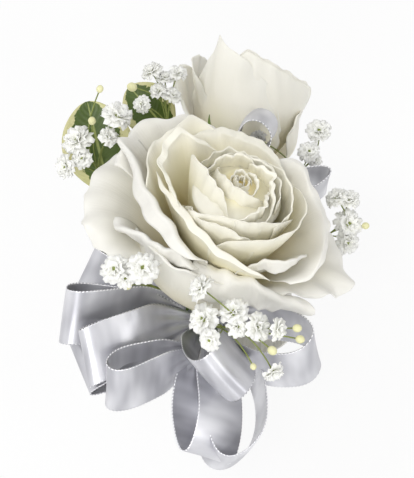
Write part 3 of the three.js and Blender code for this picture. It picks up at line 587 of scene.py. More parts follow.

# %% [markdown]
# ## Petals of the open rose
# The open rose faces the viewer and leans up a little. Its petals are listed from the heart outwards: nine
# that still stand round the heart, then nine that lie back, some with broad rolled rims. Each rim is
# given one by one, which keeps a flower's irregular look better than one rule for all petals would.

# %% Petals of the open rose
ROSE_PLACE = face(3, -8, -11.5)
ROSE_TURN = shortest_turn(0.18 * RIGHT + 0.61 * UP + 0.77 * OUT)
ROSE_HEIGHT = 46
ROSE_PHASE = 1.7
INNER_PETALS = 9
rose_petals = [
    dict(rim=[(144, 15, 38), (123, 14.3, 40), (96, 12.4, 41), (70, 12, 41), (40, 13.8, 39.5)]),
    dict(rim=[(66, 13, 38.5), (21, 15, 40.5), (-7, 16.4, 40), (-26, 18, 39), (-50, 17, 36.5)]),
    dict(rim=[(-26, 18.2, 36.5), (-60, 15.4, 39), (-82, 14.5, 39.5), (-105, 14, 39.5), (-142, 16, 37.5),
              (-160, 15.6, 33)], ruffle=0.6),
    dict(rim=[(110, 18, 36), (126, 21, 38.5), (135, 26.5, 40.5), (150, 25, 38.5), (165, 23.5, 37.5),
              (182, 20.5, 36.5), (198, 18.5, 34)], flap=2.5),
    dict(rim=[(190, 17, 31), (200, 16.4, 33.5), (225, 15.3, 36), (248, 15.5, 37), (266, 16.2, 36.5),
              (279, 17.4, 35), (290, 19, 31)], ruffle=0.7),
    dict(rim=[(22, 19, 34), (-5, 21, 36), (-23, 21.6, 36), (-43, 20.8, 36), (-69, 18.8, 35.5),
              (-98, 17.8, 33.5), (-116, 18.4, 29)]),
    dict(rim=[(154, 27, 29), (170, 23.5, 32), (184, 20, 33), (200, 17.8, 33.5), (224, 17.5, 33.5),
              (246, 18.8, 32.5), (266, 20.5, 31), (284, 24, 29), (295, 27, 26)], flap=3, bend=110),
    dict(rim=[(190, 25, 26), (160, 29.5, 30), (141, 33, 30.5), (124, 34, 31), (111, 36.5, 32),
              (98, 31, 29)], ruffle=0.6),
    dict(rim=[(114, 32, 28), (98, 29, 31), (85, 26.8, 31.5), (68, 26, 31), (46, 25, 28)], flap=3),
    dict(rim=[(-84, 20, 23), (-68, 20, 26.5), (-54, 22.5, 27.5), (-40, 25.5, 27), (-25, 26.5, 24.5)],
         flap=6, bend=140, taper=1),
    dict(rim=[(138, 41, 26), (146, 43.5, 28), (152, 36.5, 29), (166, 29.5, 29), (182, 24.5, 29),
              (205, 20.5, 28), (230, 20, 26.5), (248, 20.5, 24)],
         flap=7.5, curl=1.3, bend=125, taper=2, ruffle=0.55),
    dict(rim=[(76, 25, 25), (60, 26, 28), (43, 31, 28.5), (26, 28.5, 27), (10, 29, 27), (-4, 29.5, 27),
              (-23, 31, 26), (-38, 32, 24.5), (-50, 29, 21)], flap=2, bend=60, ruffle=0.8),
    dict(rim=[(156, 41, 24), (142, 42.5, 27), (130, 45.5, 28), (121, 41.5, 27), (112, 40.5, 27),
              (100, 38, 25), (88, 34, 21)], flap=3, bend=60, ruffle=1.0),
    dict(rim=[(177, 36, 16.5), (187, 35, 20), (195, 31, 21.5), (204, 27.4, 22.5), (214, 24.4, 23),
              (227, 21.4, 22.8), (243, 20, 21.5)],
         flap=11, curl=1.0, bend=125, taper=1.3, ruffle=0.7, belly=3),
    dict(rim=[(140, 45, 14), (154, 47, 13), (166, 46, 12), (177, 45, 11.5), (186, 42.5, 11),
              (194, 37, 10), (202, 31, 8)], bend=50, ruffle=0.9),
    dict(rim=[(32, 30, 12), (14, 36, 10.5), (-1, 40.5, 9.5), (-10, 45.5, 9), (-18, 42, 8), (-27, 36, 10),
              (-42, 28.5, 12), (-58, 22, 13)], bend=60, ruffle=1.5),
    dict(rim=[(234, 18.5, 19.5), (248, 17.2, 20.5), (264, 16.8, 20), (290, 20.6, 18), (302, 24.8, 16),
              (311, 29, 14), (318, 33, 12), (323, 37, 10)],
         flap=12, curl=2, bend=105, taper=6, ruffle=0.8, belly=3),
    dict(rim=[(182, 29, 16), (204, 28, 20), (226, 26, 21), (250, 23, 20.5), (276, 21, 17)], belly=10),
]
finishes = [cream] * INNER_PETALS + [ivory] * (len(rose_petals) - INNER_PETALS)
petal_pieces("open", "rose", rose_petals, finishes, ROSE_HEIGHT, ROSE_PHASE, ROSE_TURN, ROSE_PLACE)
print(len(rose_petals), "petals on the open rose")

# %% [markdown]
# ## Heart of the rose
# Inside the open petals the rose is still a bud. Its core is a whorl of narrow petals, each turned on from
# the last by the golden angle, as plants set their leaves. Round it stand a hood in front, a tent on the
# left, and crescents on the right and behind. A packed dome under them closes the gaps, where the real
# heart has petals too tight to tell apart. All of them make one piece.

# %% Heart of the rose
GOLDEN_ANGLE = 137.5
HEART_THICKNESS = 0.3
HEART_SEAT = 2.8
HEART_SEAT_STEP = 0.35
HEART_PHASE = 0.9


def whorl(count, height, first, last, top, start):
    """Patches of petals wound round the axis, from a reach of first out to a reach of last."""
    patches = []
    for number in range(count):
        share = number / (count - 1)
        middle, half = start + GOLDEN_ANGLE * number, lerp(120, 70, share)
        reach, rise = lerp(first, last, share), top - 1.5 * share
        rim = [
            (middle - half, reach * 1.1, rise - 2),
            (middle, reach, rise),
            (middle + half, reach * 0.9, rise - 1),
        ]
        patches.append(petal(
            rim, lerp(0.6, 2.6, share), height, flap=lerp(0.6, 1.2, share), curl=0.6, ruffle=0.25,
            phase=2.4 * number, rows=30, columns=41,
        ))
    return patches


def packed_dome(radius, top, fall):
    """A dome round the axis: its height is the top less a fall with the square of the reach."""
    u, v = grid(16, 49, 0.0)
    reach, angle = radius * v, 2 * np.pi * u
    return np.stack((reach * np.cos(angle), reach * np.sin(angle), top - fall * reach**2), axis=-1)


heart_petals = [
    dict(rim=[(140, 8.5, 41), (165, 8, 43), (190, 6.4, 44.6), (233, 4.6, 44.2), (285, 6, 43.3), (322, 9, 40)],
         flap=0.8, belly=5),
    dict(rim=[(352, 9, 40), (321, 9.6, 42), (291, 11.5, 41.5), (262, 14, 39)], flap=1.5),
    dict(rim=[(70, 8.5, 41.5), (40, 8, 43), (10, 8.6, 43), (-10, 9.2, 42.5), (-34, 11.5, 41),
              (-64, 16, 37.5)], flap=1.5),
    dict(rim=[(60, 9.2, 42.2), (95, 9, 43), (130, 10, 43), (165, 11.5, 42)], flap=0.8),
    dict(rim=[(-30, 12.6, 40.5), (5, 11.6, 42), (40, 11, 42.3), (75, 10.8, 42), (110, 12, 41)], flap=0.8),
    dict(rim=[(140, 18.5, 38), (154, 16, 42.5), (168, 12.6, 44), (188, 10.2, 44), (212, 9, 43),
              (236, 9.2, 41), (258, 11.5, 37)], flap=0.8, belly=3),
]
heart = whorl(6, ROSE_HEIGHT, first=1, last=5, top=43, start=40)
heart.append(packed_dome(radius=14, top=40.5, fall=0.032))
for number, shape in enumerate(heart_petals):
    seat = HEART_SEAT + HEART_SEAT_STEP * number
    heart.append(petal(seat=seat, height=ROSE_HEIGHT, phase=HEART_PHASE * number, **shape))
heart = [placed(points, ROSE_TURN, ROSE_PLACE) for points in heart]
piece("open_rose_heart", heart, cream, ["rose_heart"], thickness=HEART_THICKNESS)
print(len(heart), "patches in the heart of the open rose")

# %% [markdown]
# ## Half-open rose
# The second rose is seen from its side, so its outer petals show their backs. It stands behind the open
# one and points up the picture. The same petal formula makes it, with rims that stay near the axis and
# bellies that swell, round a whorl of its own.

# %% Half-open rose
BUD_PLACE = face(12.5, 24.5, -53)
BUD_TURN = shortest_turn(0.1 * RIGHT + 0.99 * UP + 0.05 * OUT)
BUD_HEIGHT = 43
BUD_PHASE = 1.3
bud_petals = [
    dict(rim=[(20, 12, 28), (60, 11, 33), (100, 10.5, 37), (140, 12, 38)], belly=3),
    dict(rim=[(130, 14, 33), (160, 16.5, 37), (178, 19.5, 37.8), (188, 21.6, 35.5), (197, 20.5, 30),
              (210, 18, 23)], belly=4),
    dict(rim=[(230, 12.5, 34), (252, 13.2, 40), (268, 13.2, 39), (289, 13.7, 36.8), (308, 14.8, 35),
              (330, 16.3, 33), (350, 19, 31.5), (366, 21.5, 30), (378, 20.5, 24)],
         flap=1.5, ruffle=0.6, belly=4),
    dict(rim=[(322, 17.5, 14), (340, 18, 20), (360, 18.5, 23), (385, 18, 26), (420, 17, 28)], belly=10),
    dict(rim=[(130, 19, 25), (160, 21.5, 32), (178, 23.6, 34), (189, 26, 30), (200, 26.5, 24), (214, 25, 15)],
         flap=1.5, belly=8),
    dict(rim=[(176, 20, 22), (196, 18.6, 33.5), (210, 17.8, 38.5), (220, 17.2, 45), (230, 16.4, 41.5),
              (248, 15, 38.5), (268, 14.2, 34.5), (288, 14, 30), (304, 14.5, 24), (318, 15.5, 14)],
         flap=0.4, belly=5),
]
finishes = [pale] * len(bud_petals)
petal_pieces("half_open", "bud", bud_petals, finishes, BUD_HEIGHT, BUD_PHASE, BUD_TURN, BUD_PLACE)
heart = whorl(9, BUD_HEIGHT, first=0.8, last=8, top=36, start=10)
heart = [placed(points, BUD_TURN, BUD_PLACE) for points in heart]
piece("half_open_bud_heart", heart, cream, ["bud_heart"], thickness=HEART_THICKNESS)
print(len(bud_petals), "petals round a heart of", len(heart))

# %% [markdown]
# ## Tubes and turned shapes
# Stems, twigs and wire are one profile carried along a path: a ring whose plane is square to the path.
# Hips and buds are a profile turned round an axis. Both close at their ends in one point. A curve with a
# bevel could make them too, but as grids they join the other patches of their piece.

# %% Tubes and turned shapes


def unit(vectors):
    """Vectors of length 1 along the given ones."""
    return vectors / np.linalg.norm(vectors, axis=-1, keepdims=True)


def tube(path, radius, sides=7):
    """Rings of a radius round a path, square to it, with both ends closed to a point."""
    slope = unit(np.gradient(path, axis=0))
    reference = np.eye(3)[np.argmin(np.abs(slope.mean(axis=0)))]
    across = unit(np.cross(slope, reference))
    lifted = np.cross(slope, across)
    angle = np.linspace(0, 2 * np.pi, sides + 1)[:, None]
    radius = np.broadcast_to(radius, len(path))[:, None, None]
    rings = path[:, None] + radius * (np.cos(angle) * across[:, None] + np.sin(angle) * lifted[:, None])
    ends = [np.broadcast_to(path[end], (1, sides + 1, 3)) for end in (0, -1)]
    return np.concatenate((ends[0], rings, ends[1]))


def turned(profile, place, axis, sides=16):
    """A profile of (radius, height) pairs turned round an axis from a place."""
    profile = np.asarray(profile, float)
    angle = np.linspace(0, 2 * np.pi, sides + 1)
    ring = np.stack((np.cos(angle), np.sin(angle)), axis=-1)
    radius, height = profile[:, :1, None], profile[:, 1:, None]
    flat = np.concatenate((radius * ring, np.broadcast_to(height, (len(profile), sides + 1, 1))), axis=-1)
    return flat @ shortest_turn(axis).T + place


print("a tube is a grid of", tube(smooth_path([(0, 0, 0), (0, 5, 9), (0, 9, 9)], 12), 1).shape)

# %% [markdown]
# ## Green of the calyx
# Under the petals sits the calyx, which is waxy and green. Its colour shifts in soft clouds, and fine lines
# run along stem and sepals. Twigs and small buds take other colours of the same finish.

# %% Green finish


def plant_finish(name, dark, light, roughness):
    """Waxy plant skin that varies in soft clouds, with fine lines along the stem."""
    made, tree, shader = new_finish(name, Specular_IOR_Level=0.4)
    cloud = noise(tree, "Object", EVEN, 220, 3)
    lines = noise(tree, "UV", (30, 2, 1), 1.0, 2)
    paint(tree, shader, tint(tree, dark, light, cloud))
    rough(tree, shader, lines, roughness, roughness + 0.15)
    bump(tree, shader, lines, 0.3, 0.1)
    return made


sepal_green = plant_finish("sepal_green", srgb(78, 104, 40), srgb(128, 150, 74), 0.4)
print("finish", sepal_green.name)

# %% [markdown]
# ## Calyx of each rose
# A calyx is a green hip on the stem, with five narrow sepals that stand off from it. The hip and the dome
# that carries the petals are one turned profile, and the stem is a tube down to its socket in the wrap.
# Sepals are arched sheets that need a thickness, so they make a piece of their own.

# %% Calyxes
WRAP_RADIUS = 4.5
WRAP_Z = 48.7
SEPAL_HALF = 2.2
SEPAL_LENGTH = 13
SEPAL_THICKNESS = 0.4
SEPAL_START = 20  # degrees round the flower to the first of five
UPWARDS = np.array([0, 0, 1.0])


def sepal(azimuth, rim, low, length, lift, reach):
    """A lance-shaped sheet from the rim of the hip to its reach: its width is a sine, and it rises by the
    sine of its lift."""
    u, v = grid(14, 7)
    half = SEPAL_HALF * np.sin(np.pi * np.clip(v, 0.06, 1) ** 0.7) * (1 - 0.35 * v)
    r = lerp(0.75 * rim, reach, np.sin(np.pi / 2 * v))
    z = low + length * v * np.sin(lift) + 0.4 * u * u
    angle = np.radians(azimuth)
    x, y = r * np.cos(angle), r * np.sin(angle)
    return np.stack((x - u * half * np.sin(angle), y + u * half * np.cos(angle), z), axis=-1)


def calyx(name, node, seat, way, foot, stem_radius, turn, place, lifts, tall=()):
    """Hip and stem of one rose as a piece, and its sepals as another; tall sepals give their own sizes."""
    rim = seat + 1
    top = seat_height(rim) - 0.5
    hip = [(0, top - 6.5), (stem_radius, top - 6.2), (rim * 0.34, top - 5), (rim * 0.66, top - 3.2),
           (rim * 0.9, top - 1.5), (rim, top - 0.2), (rim * 0.9, top + 0.1)]
    dome = [(rim * share, seat_height(rim * share) - 0.5) for share in (0.75, 0.5, 0.25, 0)]
    way, end = (turn.T @ (point - place) for point in (way, foot))
    stem = smooth_path([(0, 0, top - 3), way, end], 16)
    patches = [turned(hip + dome, np.zeros(3), UPWARDS, 28), tube(stem, stem_radius, 12)]
    patches = [placed(points, turn, place) for points in patches]
    piece(name, patches, sepal_green, [node])
    low = top - 3.5
    sheets = [sepal(SEPAL_START + 72 * i, rim, low, SEPAL_LENGTH, lift, 1.05 * rim + 4.5 * math.sin(lift))
              for i, lift in enumerate(lifts)]
    sheets += [sepal(azimuth, rim, low, *shape) for azimuth, *shape in tall]
    sheets = [placed(points, turn, place) for points in sheets]
    piece(name + "_sepals", sheets, sepal_green, thickness=SEPAL_THICKNESS)
    print(name, "with", len(sheets), "sepals")


ROSE_FOOT = np.array([0, -3, WRAP_Z + WRAP_RADIUS - 3])
BUD_FOOT = np.array([0, 18, WRAP_Z])
calyx("open_rose_calyx", "rose_calyx", petal_seat(len(rose_petals)), ROSE_FOOT + (0, 0, 4.5), ROSE_FOOT,
      2.2, ROSE_TURN, ROSE_PLACE, [-0.5, -0.4, -0.6, -0.5, -0.45])
calyx("half_open_bud_calyx", "bud_calyx", petal_seat(len(bud_petals)), face(11.7, 16.6, -53.4), BUD_FOOT,
      2.0, BUD_TURN, BUD_PLACE, [0.5, 0.2, 0.4, 0.9], [(229, 21, 1.2, 22)])

# %% [markdown]
# ## Satin
# Satin is smooth along its weft threads, so a lamp draws a streak on it and not a spot: that is
# anisotropy, and it needs to know which way the threads run, which the UVs tell. A real ribbon also mirrors
# the room, and here there are only lamps, so soft bands of lighter and darker colour are painted across it
# as a painted reflection of that room. A row of pale dots along each edge goes with the picots.

# %% Satin finish
PICOT = 1.15  # pitch of the picot edge
PICOT_EDGE = 0.465  # where the picots start, as a share of the width from the middle line
BLACK = (0, 0, 0, 1)


def satin_finish(name, shade, light, roughness):
    """Fine threads, painted reflection in bands of two colours, and pale dots by a sine along each edge.

    UV X runs across the ribbon, and UV Y is the distance along it in millimetres.
    """
    made, tree, shader = new_finish(
        name, Metallic=0.6, Anisotropic=0.7, Specular_IOR_Level=0.8, Sheen_Weight=0.1, Sheen_Roughness=0.3,
    )
    tangent = new_node(tree, "ShaderNodeTangent", direction_type="UV_MAP", uv_map="UVMap")
    tree.links.new(tangent.outputs["Tangent"], shader.inputs["Tangent"])
    threads = noise(tree, "UV", (9, 7, 1), 1.0, 2)
    # painted reflection: slow noise along the ribbon, ramped into bands between the shade and light colours
    painted_reflection = noise(tree, "UV", (0.7, 0.1, 1), 1.0, 2)
    painted_reflection_bands = ramp(tree, painted_reflection, [(0.36, BLACK), (0.64, WHITE)])
    edge = maths(tree, "GREATER_THAN", from_middle(tree), PICOT_EDGE)
    beads = maths(tree, "SINE", maths(tree, "MULTIPLY", along(tree, "Y"), 2 * math.pi / PICOT))
    dots = maths(tree, "MULTIPLY", edge, maths(tree, "GREATER_THAN", beads, 0.0))
    paint(tree, shader, tint(tree, tint(tree, shade, light, painted_reflection_bands), srgb(240, 240, 242), dots))
    rough(tree, shader, threads, roughness, roughness + 0.1)
    bump(tree, shader, threads, 0.2, 0.04)
    return made


# shade and light are the dark and bright ends of the painted reflection bands
satin = satin_finish("silver_satin", srgb(178, 178, 184), srgb(228, 228, 232), 0.3)
print("finish", satin.name)

# %% [markdown]
# ## Ribbon loops
# The bow is made of loops of 19 mm ribbon, gathered where wire binds them. A loop leaves the bow, swells
# into a teardrop and comes back. Cloth simulation could drape it, but a formula gives the same loop each
# time, and tells its length: the middle line depends on one parameter, and the width lies square to the way
# that the loop heads. Nine loops start at the bow's binding, and two at the back of the wrap.

# %% Ribbon loop
RIBBON_WIDTH = 19
RIBBON_THICKNESS = 0.35
PICOT_DEPTH = 0.3
ROWS_PER_PICOT = 4
LOOP_SPAN = (0.07, 0.93)  # shares of a full turn; what is left out keeps the strands apart at the root
ROOT_WIDTH = 0.2  # share of the width that the gathered root keeps
PLEAT_DEPTH = 1.4
HOLLOW = 0.5
WAVE_HEIGHT = 0.35
WAVE_LENGTH = 23
AXES = np.array([RIGHT, UP, OUT])


def smoothstep(low, high, value):
    """0 below low, 1 above high and 3x2 - 2x3 of the share between them."""
    share = np.clip((value - low) / (high - low), 0, 1)
    return share * share * (3 - 2 * share)


def loop(root, tip, width, opening, bow=0.0, full=1, droop=(0, 0, 0), start=(0, 0, 0), skew=0.0):
    """A ribbon loop's points and its length.

    The middle line goes out by sin2(turn/2) of the reach and aside by sin(turn) sin(turn/2) of the
    opening; a power full of the second sine moves the opening towards the tip, and a bow bends both
    strands aside. The strand nearer to the viewer is shifted by a droop, the root by a start, and a skew
    slants the tip's fold. The half width is gathered near the root and full from half way out, with pleats
    that flatten out along the way, a hollow and a slow wave. Rows are evenly spaced along the ribbon.
    """
    root = root + np.array(start) @ AXES
    heading = face(*tip) - root
    reach = np.linalg.norm(heading)
    heading = heading / reach
    lay = np.array(width) @ AXES
    lay = unit(lay - lay @ heading * heading)
    swell = np.cross(heading, lay)
    turn = 2 * np.pi * np.linspace(*LOOP_SPAN, 2000)
    out = np.sin(turn / 2) ** 2
    aside = np.sin(turn) * np.sin(turn / 2) ** full
    aside = opening * aside / np.ptp(aside) + bow * np.sin(np.pi * out)
    shift = np.maximum(0, np.sign(swell @ OUT) * np.sin(turn))
    run = np.concatenate(([0], np.cumsum(np.hypot(np.diff(out * reach), np.diff(aside)))))
    even = np.linspace(0, run[-1], int(run[-1] / PICOT * ROWS_PER_PICOT))
    out, aside, shift = (np.interp(even, run, value)[:, None] for value in (out, aside, shift))
    u = np.concatenate(([-1], np.linspace(-0.97, 0.97, 15), [1]))[None]
    picot = PICOT_DEPTH * 0.5 * (1 + np.cos(2 * np.pi * even / PICOT))[:, None] * (np.abs(u) == 1)
    half = RIBBON_WIDTH / 2 * lerp(ROOT_WIDTH, 1, smoothstep(0, 0.5, out)) + picot
    fading = (1 - smoothstep(0.02, 0.55, out)) * smoothstep(0, 0.08, out)
    pleat = PLEAT_DEPTH * fading * np.cos(3.5 * np.pi * u)
    hollow = HOLLOW * u * u * smoothstep(0.3, 0.9, out)
    swing = np.sin(2 * np.pi * even / WAVE_LENGTH)[:, None]
    wave = WAVE_HEIGHT * smoothstep(0.1, 0.5, out) * swing * (0.6 + 0.4 * u)
    aside = aside + pleat + hollow + wave
    points = root + out[..., None] * reach * heading + aside[..., None] * swell
    points = points + shift[..., None] * (np.array(droop) @ AXES)
    return points + (u * half)[..., None] * (lay + skew * heading), run[-1]


print("the picot edge has", round(10 / PICOT), "loops to 10 mm")

# %% [markdown]
# ## Loops of the bow
# Each loop is given by the place of its tip in the picture, the way that its width lies and how far it
# opens. The loops are gathered cloth, so each one says how long its ribbon is when it lies flat.

# %% Loops of the bow
BOW_ROOT = np.array([0, -23, WRAP_Z])
BACK_ROOT = np.array([WRAP_RADIUS * 0.5, 17, WRAP_Z + WRAP_RADIUS * math.sin(math.radians(60))])
BACK_LOOPS = ("top", "far_right")
loops = {
    "centre": dict(tip=(4.8, -43, 17.5), width=(0.6, -0.72, -0.35), opening=13.5),
    "right": dict(tip=(34.8, -36.5, 0), width=(0.3, -0.65, -0.7), opening=13, droop=(0, -4.5, 0)),
    "low_left": dict(tip=(-31.5, -47, 5), width=(-0.3, 0.55, 0.78), opening=9, full=2, start=(0, -9, 6)),
    "middle": dict(tip=(-39, -38.5, 2), width=(-0.2, 0.95, 0.25), opening=8, full=2,
                   start=(0, -1, 2), droop=(0, 3, 0)),
    "left": dict(tip=(-46.4, -24.3, -3), width=(0.1, -0.88, -0.45), opening=9, full=6, droop=(0, 2, 0)),
    "bottom_left": dict(tip=(0.5, -69, 5), width=(-0.7, 0.1, 0.7), opening=12),
    "bottom_ring": dict(tip=(7, -71.5, 0), width=(0.2, 0.1, 0.97), opening=20, bow=-4.5),
    "back_left": dict(tip=(-41.3, -42.6, -10), width=(0.35, -0.8, 0.45), opening=9),
    "high_left": dict(tip=(-39.5, -9, -12), width=(0.55, 0.6, 0.55), opening=8),
    "top": dict(tip=(19, 41, -22), width=(0, 0, 1), opening=11, full=4, skew=-0.03),
    "far_right": dict(tip=(41.5, 20.5, -37), width=(0.1, 0.33, 0.94), opening=8),
}
for name, shape in loops.items():
    behind = name in BACK_LOOPS
    points, length = loop(BACK_ROOT if behind else BOW_ROOT, **shape)
    made = piece("satin_loop_" + name, [points], satin, ["ribbon_" + name],
                 thickness=RIBBON_THICKNESS, run=length)
    print("loop", name, "of", round(length), "mm of ribbon")

# %% [markdown]
# ## Gypsophila
# Gypsophila carries small double florets, frilled white balls in green cups, and tight round buds, all on
# thread-like twigs. Its white petals are greenish at the foot. A fine grain in colour and bump stands for
# frills that are smaller than the mesh.

# %% Gypsophila finishes


def floret_finish():
    """White that turns greenish at the foot of a petal, along UV Y, with a fine grain."""
    made, tree, shader = new_finish(
        "gypsophila_white", Subsurface_Weight=0.15, Subsurface_Radius=(1.0, 1.0, 0.9),
        Subsurface_Scale=0.5 * MM, Sheen_Weight=0.1,
    )
    stops = [(0.0, srgb(214, 220, 180)), (0.3, srgb(247, 247, 239)), (1.0, srgb(252, 252, 249))]
    shade = ramp(tree, along(tree, "Y"), stops)
    cloud = noise(tree, "Object", EVEN, 700, 2)
    paint(tree, shader, tint(tree, shade, srgb(246, 246, 240), cloud))
    rough(tree, shader, cloud, 0.55, 0.75)
    bump(tree, shader, cloud, 0.3, 0.1)
    return made


floret_white = floret_finish()
twig_green = plant_finish("twig_green", srgb(104, 116, 54), srgb(146, 156, 84), 0.5)
bud_cream = plant_finish("bud_cream", srgb(214, 210, 150), srgb(238, 236, 196), 0.5)
print("finishes", floret_white.name, twig_green.name, bud_cream.name)

# %% [markdown]
# ## Florets and buds
# A floret is three rings of little notched petals, the outer ring lying flat and the inner one upright. Each
# petal has few faces, because there are hundreds of them. Lengths and angles vary by chance, from a fixed
# seed, so that no two florets are alike and every run gives the same ones.

# %% Florets and buds
FLORET_RINGS = ((9, 1.45, 1.3), (8, 0.95, 1.3), (6, 0.45, 1.2))  # petals, lean in radians, size
chance = np.random.default_rng(7)


def floret(centre, axis, radius):
    """Patches of a floret's petals: rings of notched sheets that lean out from the axis.

    A petal widens from its foot, curves outwards by its ring's lean, and its tip is notched by a cosine.
    """
    turn = shortest_turn(axis)
    foot = centre - axis * radius * 0.7
    u, v = grid(5, 5)
    patches = []
    for count, lean, size in FLORET_RINGS:
        for number in range(count):
            length = radius * size * chance.uniform(0.88, 1.08)
            angle = 2 * np.pi * (number + chance.uniform(-0.25, 0.25)) / count
            reach = v * length * (0.86 + 0.07 * (1 - np.cos(2 * np.pi * u)))
            bend = lean * chance.uniform(0.85, 1.1) * (0.45 + 0.55 * v)
            frill = 0.14 * length * v * v * np.sin(4 * u + chance.uniform(0, 6))
            r = reach * np.sin(bend) - frill * np.cos(bend)
            z = reach * np.cos(bend) + frill * np.sin(bend)
            side = u * length * (0.1 + 0.32 * v)
            x = r * np.cos(angle) - side * np.sin(angle)
            y = r * np.sin(angle) + side * np.cos(angle)
            patches.append(placed(np.stack((x, y, z), axis=-1), turn, foot))
    return patches


def cup(centre, axis, radius):
    """The green cup under a floret or a bud, turned round its axis."""
    profile = [(0, -1.0), (0.16, -0.98), (0.3, -0.75), (0.36, -0.45), (0.33, -0.2), (0, -0.25)]
    return turned(np.array(profile) * radius, centre, axis, 8)


def ball(centre, axis, radius):
    """A round bud, a little longer than wide."""
    angle = np.linspace(-np.pi / 2, np.pi / 2, 9)
    return turned(np.stack((np.cos(angle), 1.15 * np.sin(angle)), axis=-1) * radius, centre, axis, 12)


print("a floret has", sum(count for count, lean, size in FLORET_RINGS), "petals")

# %% [markdown]
# ## Sprigs
# A sprig is one stem from a socket in the wrap, with twigs that leave it along the way and curve to their
# heads. Heads are given by their places in the picture and their radius, because that is what can be read
# there. Stem, twigs and cups are green, florets white and buds cream, so a sprig is two or three pieces.

# %% Sprigs
TWIG_RADIUS = 0.24
STEM_RADIUS = 0.45
STEM_TIP_RADIUS = 0.3
TWIG_BEND = 0.45  # how far a twig keeps to the stem's direction, as a share of its length
FACING = 0.5  # how much a head turns to the viewer
FLORET_THICKNESS = 0.12
BUD_SIZE = 1.7  # a head of this radius or less is still a bud


def socket(y, angle, depth):
    """A place in the side of the stem wrap: degrees round it from +X to the top, at a depth."""
    radius = WRAP_RADIUS - depth
    return np.array([
        radius * math.cos(math.radians(angle)), y, WRAP_Z + radius * math.sin(math.radians(angle)),
    ])


def stem_path(y, angle, lift, way, end, count):
    """A stem that stands out of its socket and runs by a way point to its end."""
    return smooth_path([socket(y, angle, 1.5), socket(y, angle, -lift), face(*way), face(*end)], count)


sprigs = {
    "left": (dict(y=12.5, angle=155, lift=2, way=(-30, 12, -30), end=(-38, 26, -20)), [
        (-43.4, 33.2, -14, 4.4), (-47.3, 23.7, -14, 3.2), (-41.4, 26.6, -14, 3), (-28.6, 41.4, -14, 4.2),
        (-31.9, 34.2, -14, 2.8), (-35.2, 49.3, -14, 1.2), (-37.8, 38.8, -14, 1.3)]),
    "top": (dict(y=15.5, angle=115, lift=2, way=(-12, 30, -42), end=(-14, 44, -38)), [
        (-19.5, 58.1, -35, 3.2), (-9.6, 57.4, -35, 2.8), (-14.3, 56, -35, 2.6), (-16.7, 51.2, -35, 2.8),
        (-11.3, 49.9, -35, 2.6), (-25.6, 51.9, -35, 1.6), (-22.7, 46, -32, 2.6)]),
    "right_upper": (dict(y=15.5, angle=-12, lift=2, way=(25, 16, -50), end=(34, 25, -44)), [
        (38.1, 37.4, -32, 3.6), (34.7, 30, -31, 3), (37, 27, -34, 2), (16.6, 34.5, -33.5, 2.5)]),
    "right_lower": (dict(y=12.5, angle=5, lift=2, way=(36, 0, -32), end=(45, 4, -25)), [
        (42.6, 14.7, -22, 3.2), (47.4, 14.1, -22, 3.4), (48, 5.4, -21, 4), (47.3, -1.6, -21, 3.6),
        (52.8, 4.4, -21, 1.2)]),
    "front_left": (dict(y=-26.6, angle=108, lift=8, way=(-11, -18, -9), end=(-18, -15, 1)), [
        (-29, -9, 20, 3.7), (-19.8, -8.6, 23, 4), (-24.6, -14.4, 17, 1.4), (-25.3, -12.2, 20, 2.6)]),
    "front": (dict(y=-28.6, angle=90, lift=6, way=(-1.5, -27, 8), end=(9, -27.5, 19)), [
        (-2.8, -14.2, 25, 3.6), (-2.2, -24.3, 23, 4.2), (8, -21.5, 23, 3.8), (9.8, -26.8, 23, 2.8),
        (16.9, -26.8, 22, 3.8), (22.8, -27.7, 22, 3), (0.4, -31, 27, 2.9), (20.9, -41.8, 21, 3),
        (27.7, -27.4, 21, 1.3), (28.6, -30.8, 21, 1.3), (20, -34.2, 22, 1.4), (14.2, -39.1, 22, 1)]),
}


def branch_place(number, count):
    """Where a twig leaves a stem of so many points: in its last third, spread by the golden ratio."""
    return int(count * (0.99 - 0.3 * ((number * 0.618) % 1)))


for name, (stem, heads) in sprigs.items():
    path = stem_path(count=40, **stem)
    slope = unit(np.gradient(path, axis=0))
    green, white, shut = [tube(path, np.linspace(STEM_RADIUS, STEM_TIP_RADIUS, len(path)))], [], []
    for number, (right, up, out, radius) in enumerate(heads):
        head = face(right, up, out)
        branch = branch_place(number, len(path))
        distance = np.linalg.norm(head - path[branch])
        bend = path[branch] + slope[branch] * distance * TWIG_BEND
        axis = unit(unit(head - bend) + FACING * OUT)
        end = head - axis * radius * 0.9
        t = np.linspace(0, 1, 12)[:, None]
        twig = (1 - t) ** 2 * path[branch] + 2 * t * (1 - t) * bend + t * t * end
        green += [tube(twig, TWIG_RADIUS, 5), cup(head, axis, radius * (0.9 if radius > BUD_SIZE else 1.2))]
        if radius > BUD_SIZE:
            white += floret(head, axis, radius)
        else:
            shut.append(ball(head, axis, radius))
    piece("gypsophila_stems_" + name, green, twig_green, ["sprig_" + name])
    piece("gypsophila_florets_" + name, white, floret_white, thickness=FLORET_THICKNESS)
    if shut:
        piece("gypsophila_buds_" + name, shut, bud_cream)
    print("sprig", name, "with", len(heads), "heads")

# %% [markdown]
# ## Leaf finish
# The leaves are waxy and variegated: deep green along the midrib, cream in a ragged band along the margin.
# The edge of the green follows the distance from the midrib with noise added to it, and side veins slant
# away from the midrib in the bump.

# %% Leaf finish
VEIN_RATE = 90.0  # radians of the veins' sine from the base of a leaf to its tip


